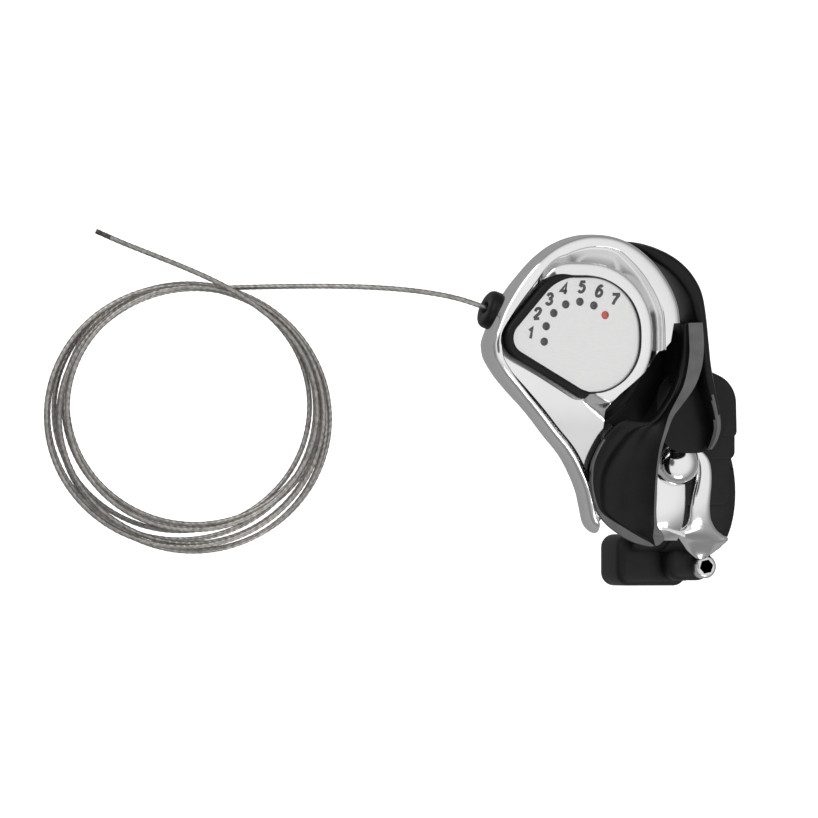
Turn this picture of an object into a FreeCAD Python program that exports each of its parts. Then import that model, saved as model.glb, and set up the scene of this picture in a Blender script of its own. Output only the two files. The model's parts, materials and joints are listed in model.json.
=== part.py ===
import FreeCAD, Part
import math
import os
import Sketcher
from FreeCAD import Placement, Rotation, Vector

# Right-hand ratcheting thumb shifter with a seven-position display.
# Frame: origin at the centre of the handlebar clamp bore, +X outboard along
# the bar, +Y forward, +Z up out of the dial. The mechanism axis is parallel
# to Z at (axis_x, axis_y). All sizes are millimetres and degrees.

SIZES = {
    # handlebar clamp
    "bore_radius": 11.1, "band_thick": 2.6, "band_half_width": 7.0,
    "slit_low": -1.2, "slit_high": 0.6, "bolt_x": 2.6, "bolt_y": -17.0,
    "bolt_radius": 2.0, "bolt_head_radius": 3.5, "bolt_head_height": 3.2,
    "lug_top": 4.0, "box_bottom": -14.0, "box_left": -15.0, "box_rear": -22.0,
    "nut_flats": 7.0, "nut_height": 3.2, "pad_low": 11.6, "pad_radius": 12.5,
    # mechanism axis and stack heights
    "axis_x": -41.2, "axis_y": 35.0, "base_low": 15.0, "base_thick": 1.6,
    "axle_radius": 3.0, "thread_radius": 2.0, "axle_shoulder": 31.4,
    "axle_top": 34.0, "bush_radius": 3.7, "bush_bore": 3.05, "bush_low": 16.6,
    "bush_top": 31.2, "hub_bore": 3.75, "lever_low": 19.4, "lever_thick": 1.5,
    "washer_low": 20.95, "washer_thick": 0.4, "washer_radius": 7.0,
    # ratchet and drum
    "ratchet_low": 21.4, "ratchet_thick": 2.6, "tooth_tip": 12.0,
    "tooth_root": 10.2, "tooth_count": 15, "tooth_face": -38.0,
    "drum_low": 24.0, "flange_low_radius": 9.2, "flange_thick": 1.6,
    "groove_radius": 6.3, "groove_width": 1.8, "flange_top_radius": 10.4,
    "nipple_radius": 2.2, "nipple_half": 2.2, "nipple_angle": 287.0,
    # pawls
    "pawl_low": 21.5, "pawl_thick": 2.3, "pawl_pin_radius": 1.2,
    "pawl_pin_circle": 15.5, "pawl_pin_angle": -60.0, "pawl_eye": 2.4,
    "nose_angle": -38.0, "nose_circle": 12.35, "nose_radius": 0.4,
    "holding_pawl_turn": 144.0, "pin_top": 26.2, "pin_boss": 2.0,
    # indicator and dial
    "disc_low": 34.2, "disc_thick": 0.7, "disc_radius": 10.4,
    "dot_circle": 8.5, "dot_radius": 0.95, "dot_step": 24.0,
    "dot_last_angle": 40.0, "dot_count": 7, "pip_top": 35.3,
    "face_low": 35.5, "face_thick": 0.5, "lens_low": 36.4, "lens_thick": 1.2,
    "bezel_low": 35.0, "bezel_top": 37.8, "bezel_width": 1.6,
    "dial_gap": 0.8, "dial_lip": 2.0, "fit": 0.05,
    # cover
    "cover_low": 21.4, "cover_top": 36.4, "cover_wall": 1.6,
    "cover_inset": 3.0, "cover_full": 31.0, "case_inset": 6.2, "case_wall": 1.4,
    "tongue_start": -12.5, "tongue_slope": 24.0, "tongue_drop": 2.6, "tongue_low": 17.6, "window_low": 22.6,
    "post_radius": 1.6, "screw_radius": 0.8, "screw_head": 1.6,
    # cable and outlet
    "cable_radius": 0.6, "cable_height": 26.5, "wind_radius": 6.9,
    "outlet_angle": 159.5, "outlet_start": 12.5, "outlet_end": 20.4,
    "outlet_radius": 4.4, "socket_radius": 2.55, "socket_floor": 13.9,
    "outlet_bore": 1.0, "straight_run": 8.6, "coil_radius": 29.2,
    "coil_loops": 8.94, "coil_pitch": 1.32, "coil_start": 86.0, "coil_tilt": 22.0,
    "coil_left": -88.4, "coil_down": -16.6, "tip_left": -109.5, "tip_up": 24.5,
    "tip_near": 11.0,
    # lever
    "skirt_inner": 18.6, "skirt_outer": 21.8, "skirt_top": 26.0,
    "root_inner": 26.95, "root_outer": 33.2, "paddle_thick": 2.2,
    "wing_thick": 2.6, "wing_low": 20.2, "wing_height": 12.6, "rivet_radius": 1.5,
}

DOC = FreeCAD.newDocument("thumb_shifter")
SHEET = DOC.addObject("Spreadsheet::Sheet", "Sizes")
for row, (alias, number) in enumerate(SIZES.items(), start=1):
    SHEET.set("A%d" % row, str(number))
    SHEET.setAlias("A%d" % row, alias)
DOC.recompute()

NODES = []


def size(alias):
    """The number that a spreadsheet alias holds."""
    return float(SHEET.get(alias))


def register(obj, label):
    """Name an object as a piece that is written out."""
    obj.Label = label
    NODES.append(obj)
    return obj


def bind(obj, **expressions):
    """Tie properties to spreadsheet expressions; __ stands for a dot."""
    for prop, text in expressions.items():
        obj.setExpression(prop.replace("__", "."), text)


def put_on_axis(obj):
    """Move an object that is drawn around Z onto the mechanism axis."""
    bind(obj, Placement__Base__x="Sizes.axis_x", Placement__Base__y="Sizes.axis_y")


# ---------------------------------------------------------------- sketches

def new_body(label):
    return register(DOC.addObject("PartDesign::Body", label), label)


def origin_plane(body, role):
    return next(f for f in body.Origin.OriginFeatures if f.Role == role)


def new_sketch(body, name, height):
    """A sketch on the body's XY plane, raised to a height expression."""
    sketch = body.newObject("Sketcher::SketchObject", name)
    sketch.AttachmentSupport = [(origin_plane(body, "XY_Plane"), "")]
    sketch.MapMode = "FlatFace"
    sketch.setExpression("AttachmentOffset.Base.z", height)
    return sketch


def add_circle(sketch, radius, x="0", y="0"):
    """A circle whose radius and centre are expressions."""
    index = sketch.addGeometry(Part.Circle(Vector(1, 1, 0), Vector(0, 0, 1), 1.0), False)
    for kind, expression in (("Radius", radius), ("DistanceX", x), ("DistanceY", y)):
        if kind == "Radius":
            number = sketch.addConstraint(Sketcher.Constraint(kind, index, 1.0))
        else:
            number = sketch.addConstraint(Sketcher.Constraint(kind, -1, 1, index, 3, 1.0))
        name = "%s_%d" % (kind, index)
        sketch.renameConstraint(number, name)
        sketch.setExpression("Constraints.%s" % name, expression)
    return index


def add_pad(body, sketch, length):
    pad = body.newObject("PartDesign::Pad", sketch.Name + "_pad")
    pad.Profile = sketch
    pad.setExpression("Length", length)
    return pad


def turned(label, steps, bore=None):
    """Stacked discs on the mechanism axis: (radius, bottom, height) each."""
    body = new_body(label)
    for number, (radius, bottom, height) in enumerate(steps):
        sketch = new_sketch(body, "%s_step_%d" % (label, number), bottom)
        add_circle(sketch, radius)
        if bore:
            add_circle(sketch, bore)
        add_pad(body, sketch, height)
    put_on_axis(body)
    return body


# ------------------------------------------------------------ free outlines

def rounded_outline(corners, z):
    """Closed wire through (x, y, radius) corners, each corner an arc."""
    count = len(corners)
    edges = []
    joints = []
    for i in range(count):
        here = Vector(corners[i][0], corners[i][1], z)
        before = Vector(corners[i - 1][0], corners[i - 1][1], z)
        after = Vector(corners[(i + 1) % count][0], corners[(i + 1) % count][1], z)
        back = (before - here).normalize()
        ahead = (after - here).normalize()
        half = back.getAngle(ahead) / 2
        reach = corners[i][2] / math.tan(half)
        centre_line = (back + ahead).normalize()
        middle = here + centre_line * (corners[i][2] / math.sin(half) - corners[i][2])
        joints.append((here + back * reach, middle, here + ahead * reach))
    for i in range(count):
        start, middle, end = joints[i]
        edges.append(Part.Arc(start, middle, end).toShape())
        following = joints[(i + 1) % count][0]
        if (following - end).Length > 1e-6:
            edges.append(Part.makeLine(end, following))
    return Part.Wire(edges)


def prism(corners, low, high, grow=0.0):
    """Solid between two heights inside an outline grown by an offset."""
    wire = rounded_outline(corners, low)
    if grow:
        wire = wire.makeOffset2D(grow)
    return Part.Face(wire).extrude(Vector(0, 0, high - low))


def sharp_prism(points, low, high):
    corners = [Vector(x, y, low) for x, y in points]
    wire = Part.makePolygon(corners + corners[:1])
    return Part.Face(wire).extrude(Vector(0, 0, high - low))


def cylinder(radius, low, high, x=0.0, y=0.0):
    return Part.makeCylinder(radius, high - low, Vector(x, y, low))


def sector(inner, outer, low, high, start, end):
    """Ring segment between two angles in degrees."""
    ring = cylinder(outer, low, high).cut(cylinder(inner, low, high))
    reach = outer * 3
    steps = max(2, int((end - start) / 60) + 2)
    angles = [start + (end - start) * i / (steps - 1) for i in range(steps)]
    fan = [(0, 0)] + [polar(reach, angle) for angle in angles]
    return ring.common(sharp_prism(fan, low, high))


def polar(radius, angle):
    turn = math.radians(angle)
    return radius * math.cos(turn), radius * math.sin(turn)


def sweep_round(path, radius):
    """Round bar along an edge or wire."""
    wire = Part.Wire([path]) if path.ShapeType == "Edge" else path
    first = wire.Edges[0]
    start = first.valueAt(first.FirstParameter)
    tangent = first.tangentAt(first.FirstParameter)
    profile = Part.Wire([Part.Circle(start, tangent, radius).toShape()])
    return wire.makePipeShell([profile], True, True)


def smooth_path(points, start_tangent=None, end_tangent=None):
    curve = Part.BSplineCurve()
    if start_tangent is None:
        curve.interpolate(Points=points)
    else:
        curve.interpolate(Points=points, InitialTangent=start_tangent, FinalTangent=end_tangent)
    return curve.toShape()


def add_shape(label, shape, on_axis=True):
    """A piece whose shape is set directly, placed after its shape."""
    piece = register(DOC.addObject("Part::Feature", label), label)
    piece.Shape = shape.removeSplitter() if shape.ShapeType != "Compound" else shape
    if on_axis:
        put_on_axis(piece)
    return piece


# Outlines around the mechanism axis: (x, y, corner radius).
PEAR = [(26.3, 22.8, 21.0), (-9.5, 22.8, 19.0), (-20.6, -2.8, 5.0),
        (9.0, -44.5, 3.5), (19.0, -44.5, 3.0), (26.3, -12.0, 14.0)]
DIAL = [(15.0, 14.1, 12.6), (-5.5, 14.1, 9.0), (-18.8, -0.8, 4.0),
        (1.2, -12.2, 4.5), (15.0, -11.6, 11.5)]
LEVER_SIDE = [(-4.0, 30), (40, 30), (40, -60), (18.0, -60), (16.0, -36.0), (2.0, -30.0),
              (14.0, -10.0)]
COVER_POSTS = [(-4.4, -14.0), (13.2, -35.2)]


# ------------------------------------------------------------------ clamp

def clamp_bracket():
    bore, outer = size("bore_radius"), size("bore_radius") + size("band_thick")
    half = size("band_half_width")
    along_x = Vector(1, 0, 0)
    ring = Part.makeCylinder(outer, 2 * half, Vector(-half, 0, 0), along_x)
    box_height = size("slit_low") - size("box_bottom")
    box = Part.makeBox(half - 1.0 - size("box_left"), 13.0, box_height,
                       Vector(size("box_left"), size("box_rear"), size("box_bottom")))
    uprights = [e for e in box.Edges if abs(e.tangentAt(0).z) > 0.9]
    box = box.makeFillet(2.6, uprights)
    lug = Part.makeBox(half + 3.0, 12.0, size("lug_top") - size("slit_high"),
                       Vector(-4.0, size("box_rear") + 0.4, size("slit_high")))
    uprights = [e for e in lug.Edges if abs(e.tangentAt(0).z) > 0.9]
    lug = lug.makeFillet(2.0, uprights)
    pad = cylinder(size("pad_radius"), size("pad_low"), size("base_low"),
                   size("axis_x"), size("axis_y"))
    arm = prism([(6.6, 2.0, 1.5), (6.6, 26.0, 5.0), (-30.0, 40.0, 3.0), (-40.0, 24.0, 3.0),
                 (-20.0, 2.0, 2.0)], size("pad_low"), size("base_low"))
    neck = Part.makeBox(2 * half, 12.0, 9.0, Vector(-half, 2.0, 6.0))
    bracket = ring.multiFuse([box, lug, pad, arm, neck])
    inside = Part.makeCylinder(bore, 80, Vector(-62, 0, 0), along_x)
    relief = Part.makeCylinder(bore + 0.8, 60, Vector(-half - 60, 0, 0), along_x)
    slit = Part.makeBox(60, 20, size("slit_high") - size("slit_low"),
                        Vector(-30, -25, size("slit_low")))
    hole = cylinder(size("bolt_radius") + 0.15, -30, 30, size("bolt_x"), size("bolt_y"))
    bracket = bracket.cut(inside).cut(relief).cut(slit).cut(hole).cut(clamp_nut_shape(0.1))
    for y in (8.0, -8.0):
        bracket = bracket.cut(bracket_screw_shape(y, 0.0))
    return add_shape("clamp_bracket", bracket, on_axis=False)


def clamp_nut_shape(gap=0.0):
    across = size("nut_flats") / 2 / math.cos(math.radians(30)) + gap
    points = [polar(across, 60 * i) for i in range(6)]
    moved = [(x + size("bolt_x"), y + size("bolt_y")) for x, y in points]
    low = size("box_bottom")
    return sharp_prism(moved, low, low + size("nut_height") + gap)


def clamp_bolt_and_nut():
    x, y = size("bolt_x"), size("bolt_y")
    top = size("lug_top") + size("bolt_head_height")
    head = cylinder(size("bolt_head_radius"), size("lug_top"), top, x, y)
    head = head.makeFillet(0.5, [e for e in head.Edges if e.BoundBox.ZMin > top - 0.01])
    socket = sharp_prism([(x + px, y + py) for px, py in [polar(1.7, 60 * i) for i in range(6)]],
                         top - 2.6, top)
    shank = cylinder(size("bolt_radius"), size("box_bottom"), size("lug_top"), x, y)
    add_shape("clamp_bolt", head.fuse(shank).cut(socket), on_axis=False)
    nut = clamp_nut_shape().cut(cylinder(size("bolt_radius"), -30, 0, x, y))
    add_shape("clamp_nut", nut, on_axis=False)


def bracket_screw_shape(y, gap):
    """Countersunk screw from under the pad up into the base plate."""
    low, top = size("pad_low"), size("base_low") + size("base_thick")
    cx, cy = size("axis_x"), size("axis_y") + y
    head = Part.makeCone(3.2 + gap, 1.8 + gap, 1.6, Vector(cx, cy, low))
    return head.fuse(cylinder(1.8 + gap, low + 1.6, top, cx, cy))


def clamp_cover():
    """Bright cap over the clamp with a blade that follows the band."""
    low = size("base_low")
    floor = prism([(-20.4, 17.0, 3.0), (-20.4, -12.5, 3.0), (-6.0, -12.5, 3.0),
                   (-4.0, 17.0, 3.0)], low, low + 1.6)
    boss = cylinder(4.4, low, 19.0, -9.6, 6.0)
    boss = boss.makeFillet(1.5, [e for e in boss.Edges if e.BoundBox.ZMin > 18.9])
    outer = size("bore_radius") + size("band_thick") + 2.2
    along_x = Vector(1, 0, 0)
    blade = Part.makeCylinder(outer, 7.0, Vector(-5.4, 0, 0), along_x)
    tip = Part.makeCylinder(outer, 8.0, Vector(-1.0, 0, 0), along_x)
    tip = tip.common(Part.makeBox(9.0, 4.2, 6.0, Vector(-1.0, -14.0, 7.5)))
    blade = blade.common(Part.makeBox(20, 23.0, 10.0, Vector(-10, -11.0, 8.5)))
    cap = floor.multiFuse([boss, blade, tip])
    cap = cap.cut(Part.makeCylinder(outer - 2.15, 80, Vector(-60, 0, 0), along_x))
    bracket = next(n for n in NODES if n.Label == "clamp_bracket").Shape
    return add_shape("clamp_cover", cap.cut(bracket), on_axis=False)


# ---------------------------------------------------------- base and axle

def base_plate():
    low, top = size("base_low"), size("base_low") + size("base_thick")
    plate = prism(PEAR, low, top, -size("case_inset"))
    plate = plate.cut(cylinder(size("axle_radius"), low, top))
    for x, y in COVER_POSTS:
        plate = plate.cut(cylinder(size("screw_radius") + 0.1, low, top, x, y))
    for y in (8.0, -8.0):
        plate = plate.cut(cylinder(1.8, low, top, 0, y))
    pin = holding_pin_centre()
    plate = plate.cut(cylinder(size("pawl_pin_radius"), low, top, *pin))
    add_shape("base_plate", plate)


def axle_group():
    turned("main_axle", [
        ("Sizes.axle_radius", "Sizes.base_low", "Sizes.axle_shoulder - Sizes.base_low"),
        ("Sizes.thread_radius", "Sizes.axle_shoulder", "Sizes.axle_top - Sizes.axle_shoulder")])
    turned("hub_bush", [("Sizes.bush_radius", "Sizes.bush_low", "Sizes.bush_top - Sizes.bush_low")],
           "Sizes.bush_bore")
    turned("thrust_washer", [("Sizes.washer_radius", "Sizes.washer_low", "Sizes.washer_thick")],
           "Sizes.hub_bore + Sizes.fit")
    turned("axle_washer", [("4.6", "Sizes.axle_shoulder", "0.5")], "Sizes.thread_radius + Sizes.fit")
    low = size("axle_shoulder") + 0.5
    nut = sharp_prism([polar(4.0, 60 * i) for i in range(6)], low, low + 2.0)
    nut = nut.cut(cylinder(size("thread_radius"), low, low + 2.0))
    add_shape("axle_nut", nut)


# -------------------------------------------------------- drum and ratchet

def ratchet_wheel():
    """Disc with one saw tooth repeated round it."""
    body = new_body("ratchet_wheel")
    disc = new_sketch(body, "ratchet_disc", "Sizes.ratchet_low")
    add_circle(disc, "Sizes.tooth_root + 0.05")
    add_circle(disc, "Sizes.hub_bore")
    add_pad(body, disc, "Sizes.ratchet_thick")
    pitch = 360.0 / size("tooth_count")
    face = size("tooth_face")
    corners = [polar(size("tooth_root") - 0.6, face), polar(size("tooth_tip"), face),
               polar(size("tooth_tip"), face + 2.0), polar(size("tooth_root"), face + pitch - 1.0)]
    tooth = new_sketch(body, "ratchet_tooth", "Sizes.ratchet_low")
    ends = [Vector(x, y, 0) for x, y in corners]
    for i, start in enumerate(ends):
        tooth.addGeometry(Part.LineSegment(start, ends[(i + 1) % len(ends)]), False)
    for i in range(len(ends)):
        tooth.addConstraint(Sketcher.Constraint("Coincident", i, 2, (i + 1) % len(ends), 1))
    feature = add_pad(body, tooth, "Sizes.ratchet_thick")
    DOC.recompute()
    pattern = body.newObject("PartDesign::PolarPattern", "ratchet_teeth")
    pattern.Originals = [feature]
    axis = origin_plane(body, "Z_Axis")
    pattern.Axis = (axis, [""])
    pattern.Angle = 360
    bind(pattern, Occurrences="Sizes.tooth_count")
    body.Tip = pattern
    put_on_axis(body)


def winding_drum():
    """Grooved drum with a pocket for the cable nipple."""
    low = size("drum_low")
    groove_low = low + size("flange_thick")
    groove_top = groove_low + size("groove_width")
    top = groove_top + size("flange_thick")
    drum = cylinder(size("flange_low_radius"), low, groove_low)
    drum = drum.fuse(cylinder(size("groove_radius"), groove_low, groove_top))
    drum = drum.fuse(cylinder(size("flange_top_radius"), groove_top, top))
    drum = drum.cut(cylinder(size("hub_bore"), low, top))
    x, y = polar(size("wind_radius"), size("nipple_angle"))
    middle = size("cable_height")
    half = size("nipple_half")
    pocket = cylinder(size("nipple_radius") + size("fit"), middle - half - size("fit"), top, x, y)
    drum = drum.cut(pocket)
    add_shape("winding_drum", drum)
    nipple = cylinder(size("nipple_radius"), middle - half, middle + half, x, y)
    wrap = cable_arc(size("wind_radius"), 227.0, size("nipple_angle"))
    add_shape("cable_nipple", nipple)
    add_shape("cable_wrap", wrap.cut(nipple))


def cable_arc(radius, start, end):
    circle = Part.Circle(Vector(0, 0, size("cable_height")), Vector(0, 0, 1), radius)
    path = Part.Edge(circle, math.radians(start), math.radians(end))
    return sweep_round(path, size("cable_radius"))


def indicator():
    low, thick = size("disc_low"), size("disc_thick")
    drum_top = size("drum_low") + 2 * size("flange_thick") + size("groove_width")
    disc = cylinder(size("disc_radius"), low, low + thick)
    leg = sector(9.4, size("disc_radius"), drum_top, low, 100, 130)
    x, y = polar(size("dot_circle"), size("dot_last_angle"))
    pip_radius = size("dot_radius") + 0.2
    disc = disc.fuse(leg).cut(cylinder(pip_radius, low + 0.3, low + thick, x, y))
    add_shape("indicator_disc", disc)
    add_shape("indicator_pip", cylinder(pip_radius, low + 0.3, size("pip_top"), x, y))


# ------------------------------------------------------------------ pawls

def pawl_shape(low, high, bore):
    """Pawl around its pin with its nose just clear of the teeth."""
    pin = Vector(*polar(size("pawl_pin_circle"), size("pawl_pin_angle")), low)
    nose = Vector(*polar(size("nose_circle"), size("nose_angle")), low)
    along = (nose - pin).normalize()
    side = Vector(-along.y, along.x, 0)
    wide, narrow = size("pawl_eye") * 0.9, size("nose_radius")
    reach = nose + along * 0.1
    arm = sharp_prism([(p.x, p.y) for p in (pin + side * wide * 0.6, reach + side * narrow * 0.2,
                                            reach - side * narrow * 3.2, pin - side * wide)],
                      low, high)
    eye = cylinder(size("pawl_eye"), low, high, pin.x, pin.y)
    return arm.fuse(eye).cut(cylinder(bore, low, high, pin.x, pin.y))


def turned_copy(shape, angle):
    copy = shape.copy()
    copy.rotate(Vector(0, 0, 0), Vector(0, 0, 1), angle)
    return copy


def holding_pin_centre():
    angle = size("pawl_pin_angle") + size("holding_pawl_turn")
    return polar(size("pawl_pin_circle"), angle)


def pawl_spring_shape(low):
    """Open coil around a pawl pin."""
    wire_radius, turns, rise = 0.25, 2.5, 0.62
    helix = Part.makeHelix(rise, rise * turns, 1.62)
    spring = sweep_round(Part.Wire(helix.Edges), wire_radius)
    x, y = polar(size("pawl_pin_circle"), size("pawl_pin_angle"))
    spring.translate(Vector(x, y, low + wire_radius))
    return spring


def pawls():
    low = size("pawl_low")
    top = low + size("pawl_thick")
    turn = size("holding_pawl_turn")
    radius = size("pawl_pin_radius")
    pawl = pawl_shape(low, top, radius + size("fit"))
    add_shape("drive_pawl", pawl)
    add_shape("holding_pawl", turned_copy(pawl, turn))
    x, y = polar(size("pawl_pin_circle"), size("pawl_pin_angle"))
    add_shape("drive_pawl_pin", cylinder(radius, size("lever_low"), size("pin_top"), x, y))
    x, y = holding_pin_centre()
    add_shape("holding_pawl_pin", cylinder(radius, size("base_low"), size("pin_top"), x, y))
    spring = pawl_spring_shape(top + 0.15)
    add_shape("drive_pawl_spring", spring)
    add_shape("holding_pawl_spring", turned_copy(spring, turn))


# ---------------------------------------------------------------- springs

def lever_return_spring():
    wire_radius, turns, rise, coil_radius = 0.4, 2.0, 0.85, 6.4
    low = size("base_low") + size("base_thick") + 0.05 + wire_radius
    steps = 24
    points = []
    for i in range(int(turns * steps) + 1):
        x, y = polar(coil_radius, 360.0 * i / steps)
        points.append(Vector(x, y, low + rise * i / steps))
    add_shape("lever_return_spring", sweep_round(smooth_path(points), wire_radius))


def drum_spring():
    """Flat clock spring that unwinds the drum."""
    low = size("drum_low") + 2 * size("flange_thick") + size("groove_width") + 0.15
    thick, start, growth, turns = 0.35, 4.3, 0.95, 4.5
    count = 54
    inner, outer = [], []
    for i in range(count + 1):
        angle = 360.0 * turns * i / count
        radius = start + growth * angle / 360.0
        inner.append(Vector(*polar(radius, angle), low))
        outer.append(Vector(*polar(radius + thick, angle), low))
    near, far = smooth_path(inner), smooth_path(outer)
    ends = [Part.makeLine(inner[0], outer[0]), Part.makeLine(inner[-1], outer[-1])]
    face = Part.Face(Part.Wire(Part.__sortEdges__([near, far] + ends)))
    add_shape("drum_spring", face.extrude(Vector(0, 0, 2.0)))


# ------------------------------------------------------------------ lever

def lever_plate():
    low, top = size("lever_low"), size("lever_low") + size("lever_thick")
    hub = cylinder(9.0, low, top)
    arm = prism([(34.0, -9.0, 3.0), (34.0, 3.5, 3.0), (-5.0, 8.0, 4.0), (-5.0, -8.0, 4.0)], low, top)
    x, y = polar(size("pawl_pin_circle"), size("pawl_pin_angle"))
    ear = cylinder(3.4, low, top, x, y)
    bridge = sharp_prism([(0, -8), (10, -12), (14, -4), (4, 0)], low, top)
    plate = hub.multiFuse([arm, ear, bridge]).cut(cylinder(size("hub_bore"), low, top))
    plate = plate.cut(cylinder(size("pawl_pin_radius"), low, top, x, y))
    for px, py in RIVETS:
        plate = plate.cut(cylinder(size("rivet_radius"), low, top, px, py))
    add_shape("lever_plate", plate)


RIVETS = [(30.4, -1.0), (30.4, -5.6)]


def strip_section(rim, edge, sag, thick):
    """Closed section of a scooped strip from its rim to its lower edge."""
    middle = (rim + edge) * 0.5
    across = (edge - rim).normalize()
    outward = across.cross(Vector(0, 1, 0)).normalize()
    if outward.z > 0:
        outward = outward * -1
    inner = Part.Arc(rim, middle + outward * sag, edge).toShape()
    outer = Part.Arc(rim + outward * thick, middle + outward * (sag + thick),
                     edge + outward * thick).toShape()
    ends = [Part.makeLine(rim, rim + outward * thick), Part.makeLine(edge, edge + outward * thick)]
    return Part.Wire(Part.__sortEdges__([inner, outer] + ends))


def thumb_paddle():
    """Scooped leaf on a root block beside the cover, with an inner skirt."""
    stations = [((31.6, 0.5, 34.6), (28.2, -4.6, 30.4), 0.3),
                ((29.4, -8.0, 35.0), (24.4, -12.6, 30.4), 1.2),
                ((26.2, -18.4, 34.8), (14.8, -21.6, 30.4), 2.0),
                ((23.0, -30.0, 34.0), (9.0, -30.0, 28.6), 2.5),
                ((22.0, -39.0, 32.2), (11.0, -38.6, 26.4), 2.2),
                ((23.4, -46.4, 29.6), (18.4, -45.6, 26.0), 0.8)]
    sections = [strip_section(Vector(*rim), Vector(*edge), sag, size("paddle_thick"))
                for rim, edge, sag in stations]
    leaf = Part.makeLoft(sections, True, False)
    low, top = size("lever_low"), size("lever_low") + size("lever_thick")
    root = sector(size("root_inner"), size("root_outer"), top, 34.0, -17, 6)
    web = sector(size("skirt_inner"), size("root_inner") + 1.0, top, 22.0, -16, 4)
    skirt = sector(size("skirt_inner"), size("skirt_outer"), top, size("skirt_top"), -62, -14)
    paddle = root.multiFuse([leaf, web, skirt])
    for px, py in RIVETS:
        paddle = paddle.cut(cylinder(size("rivet_radius"), low, top + 4.0, px, py))
    add_shape("thumb_paddle", paddle)
    rivets = [cylinder(size("rivet_radius"), low - 0.6, top + 4.0, px, py) for px, py in RIVETS]
    add_shape("lever_rivets", Part.makeCompound(rivets))


def wall_outline(outer_points, thick, z):
    """Closed face between a smooth curve and its copy moved inward."""
    curve = smooth_path([Vector(x, y, z) for x, y in outer_points])
    first, last = curve.ParameterRange
    count = 3 * len(outer_points)
    inner = []
    for i in range(count + 1):
        parameter = first + (last - first) * i / count
        tangent = curve.tangentAt(parameter)
        inner.append(curve.valueAt(parameter) + Vector(tangent.y, -tangent.x, 0) * thick)
    inner_curve = smooth_path(inner)
    ends = [Part.makeLine(curve.valueAt(first), inner[0]),
            Part.makeLine(curve.valueAt(last), inner[-1])]
    return Part.Face(Part.Wire(Part.__sortEdges__([curve, inner_curve] + ends)))


def finger_paddle():
    """Curved outer wing round the outside of the cover."""
    low = size("wing_low")
    outer_points = [(14.5, 22.3), (18.0, 21.9), (22.0, 20.6), (25.4, 18.9), (28.6, 16.5),
                    (31.0, 13.4), (32.4, 10.2), (33.5, 4.2), (35.2, -9.3), (37.5, -19.0),
                    (35.0, -25.6)]
    face = wall_outline(outer_points, size("wing_thick"), low)
    wing = face.extrude(Vector(0, 0, size("wing_height"))).cut(cylinder(size("root_inner"), low, 40))
    top = low + size("wing_height")
    slope = [Vector(0, 6.0, top), Vector(0, 30.0, top - 7.0), Vector(0, 30.0, top + 1.0),
             Vector(0, 6.0, top + 1.0)]
    wing = wing.cut(Part.Face(Part.makePolygon(slope + slope[:1])).extrude(Vector(60, 0, 0)))
    wing = wing.cut(Part.makeBox(30.0, 30.0, 40.0, Vector(-13.0, 10.0, 0)))
    foot = sector(size("root_outer") - 2.0, 35.0, low, 26.0, -12, 3)
    wing = wing.fuse(foot)
    for label in ("thumb_paddle", "lever_plate"):
        neighbour = next(n for n in NODES if n.Label == label).Shape.copy()
        neighbour.Placement = Placement()
        wing = wing.cut(neighbour)
    add_shape("finger_paddle", biggest(wing))


def biggest(shape):
    return max(shape.Solids, key=lambda solid: solid.Volume)


# ------------------------------------------------------------------ cover

def sloped_block(lower_by):
    """Everything above the tongue's sloping top."""
    start = size("tongue_start")
    top = size("cover_top") - size("tongue_drop") - lower_by
    run = 60.0
    drop = run * math.tan(math.radians(size("tongue_slope")))
    points = [Vector(-60, start, top), Vector(-60, start, 60), Vector(-60, start - run, 60),
              Vector(-60, start - run, top - drop)]
    return Part.Face(Part.makePolygon(points + points[:1])).extrude(Vector(120, 0, 0))


def outline_loft(low, grow_low, high, grow_high):
    """Solid between two heights whose outline grows from one offset to the other."""
    wires = [rounded_outline(PEAR, z).makeOffset2D(grow) if grow else rounded_outline(PEAR, z)
             for z, grow in ((low, grow_low), (high, grow_high))]
    return Part.makeLoft(wires, True, True)


def tongue_side(shape):
    """The part of a shape that lies under the end of the tongue."""
    return shape.common(Part.makeBox(60, 40, 60, Vector(-30, -66.0, 0)))


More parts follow.
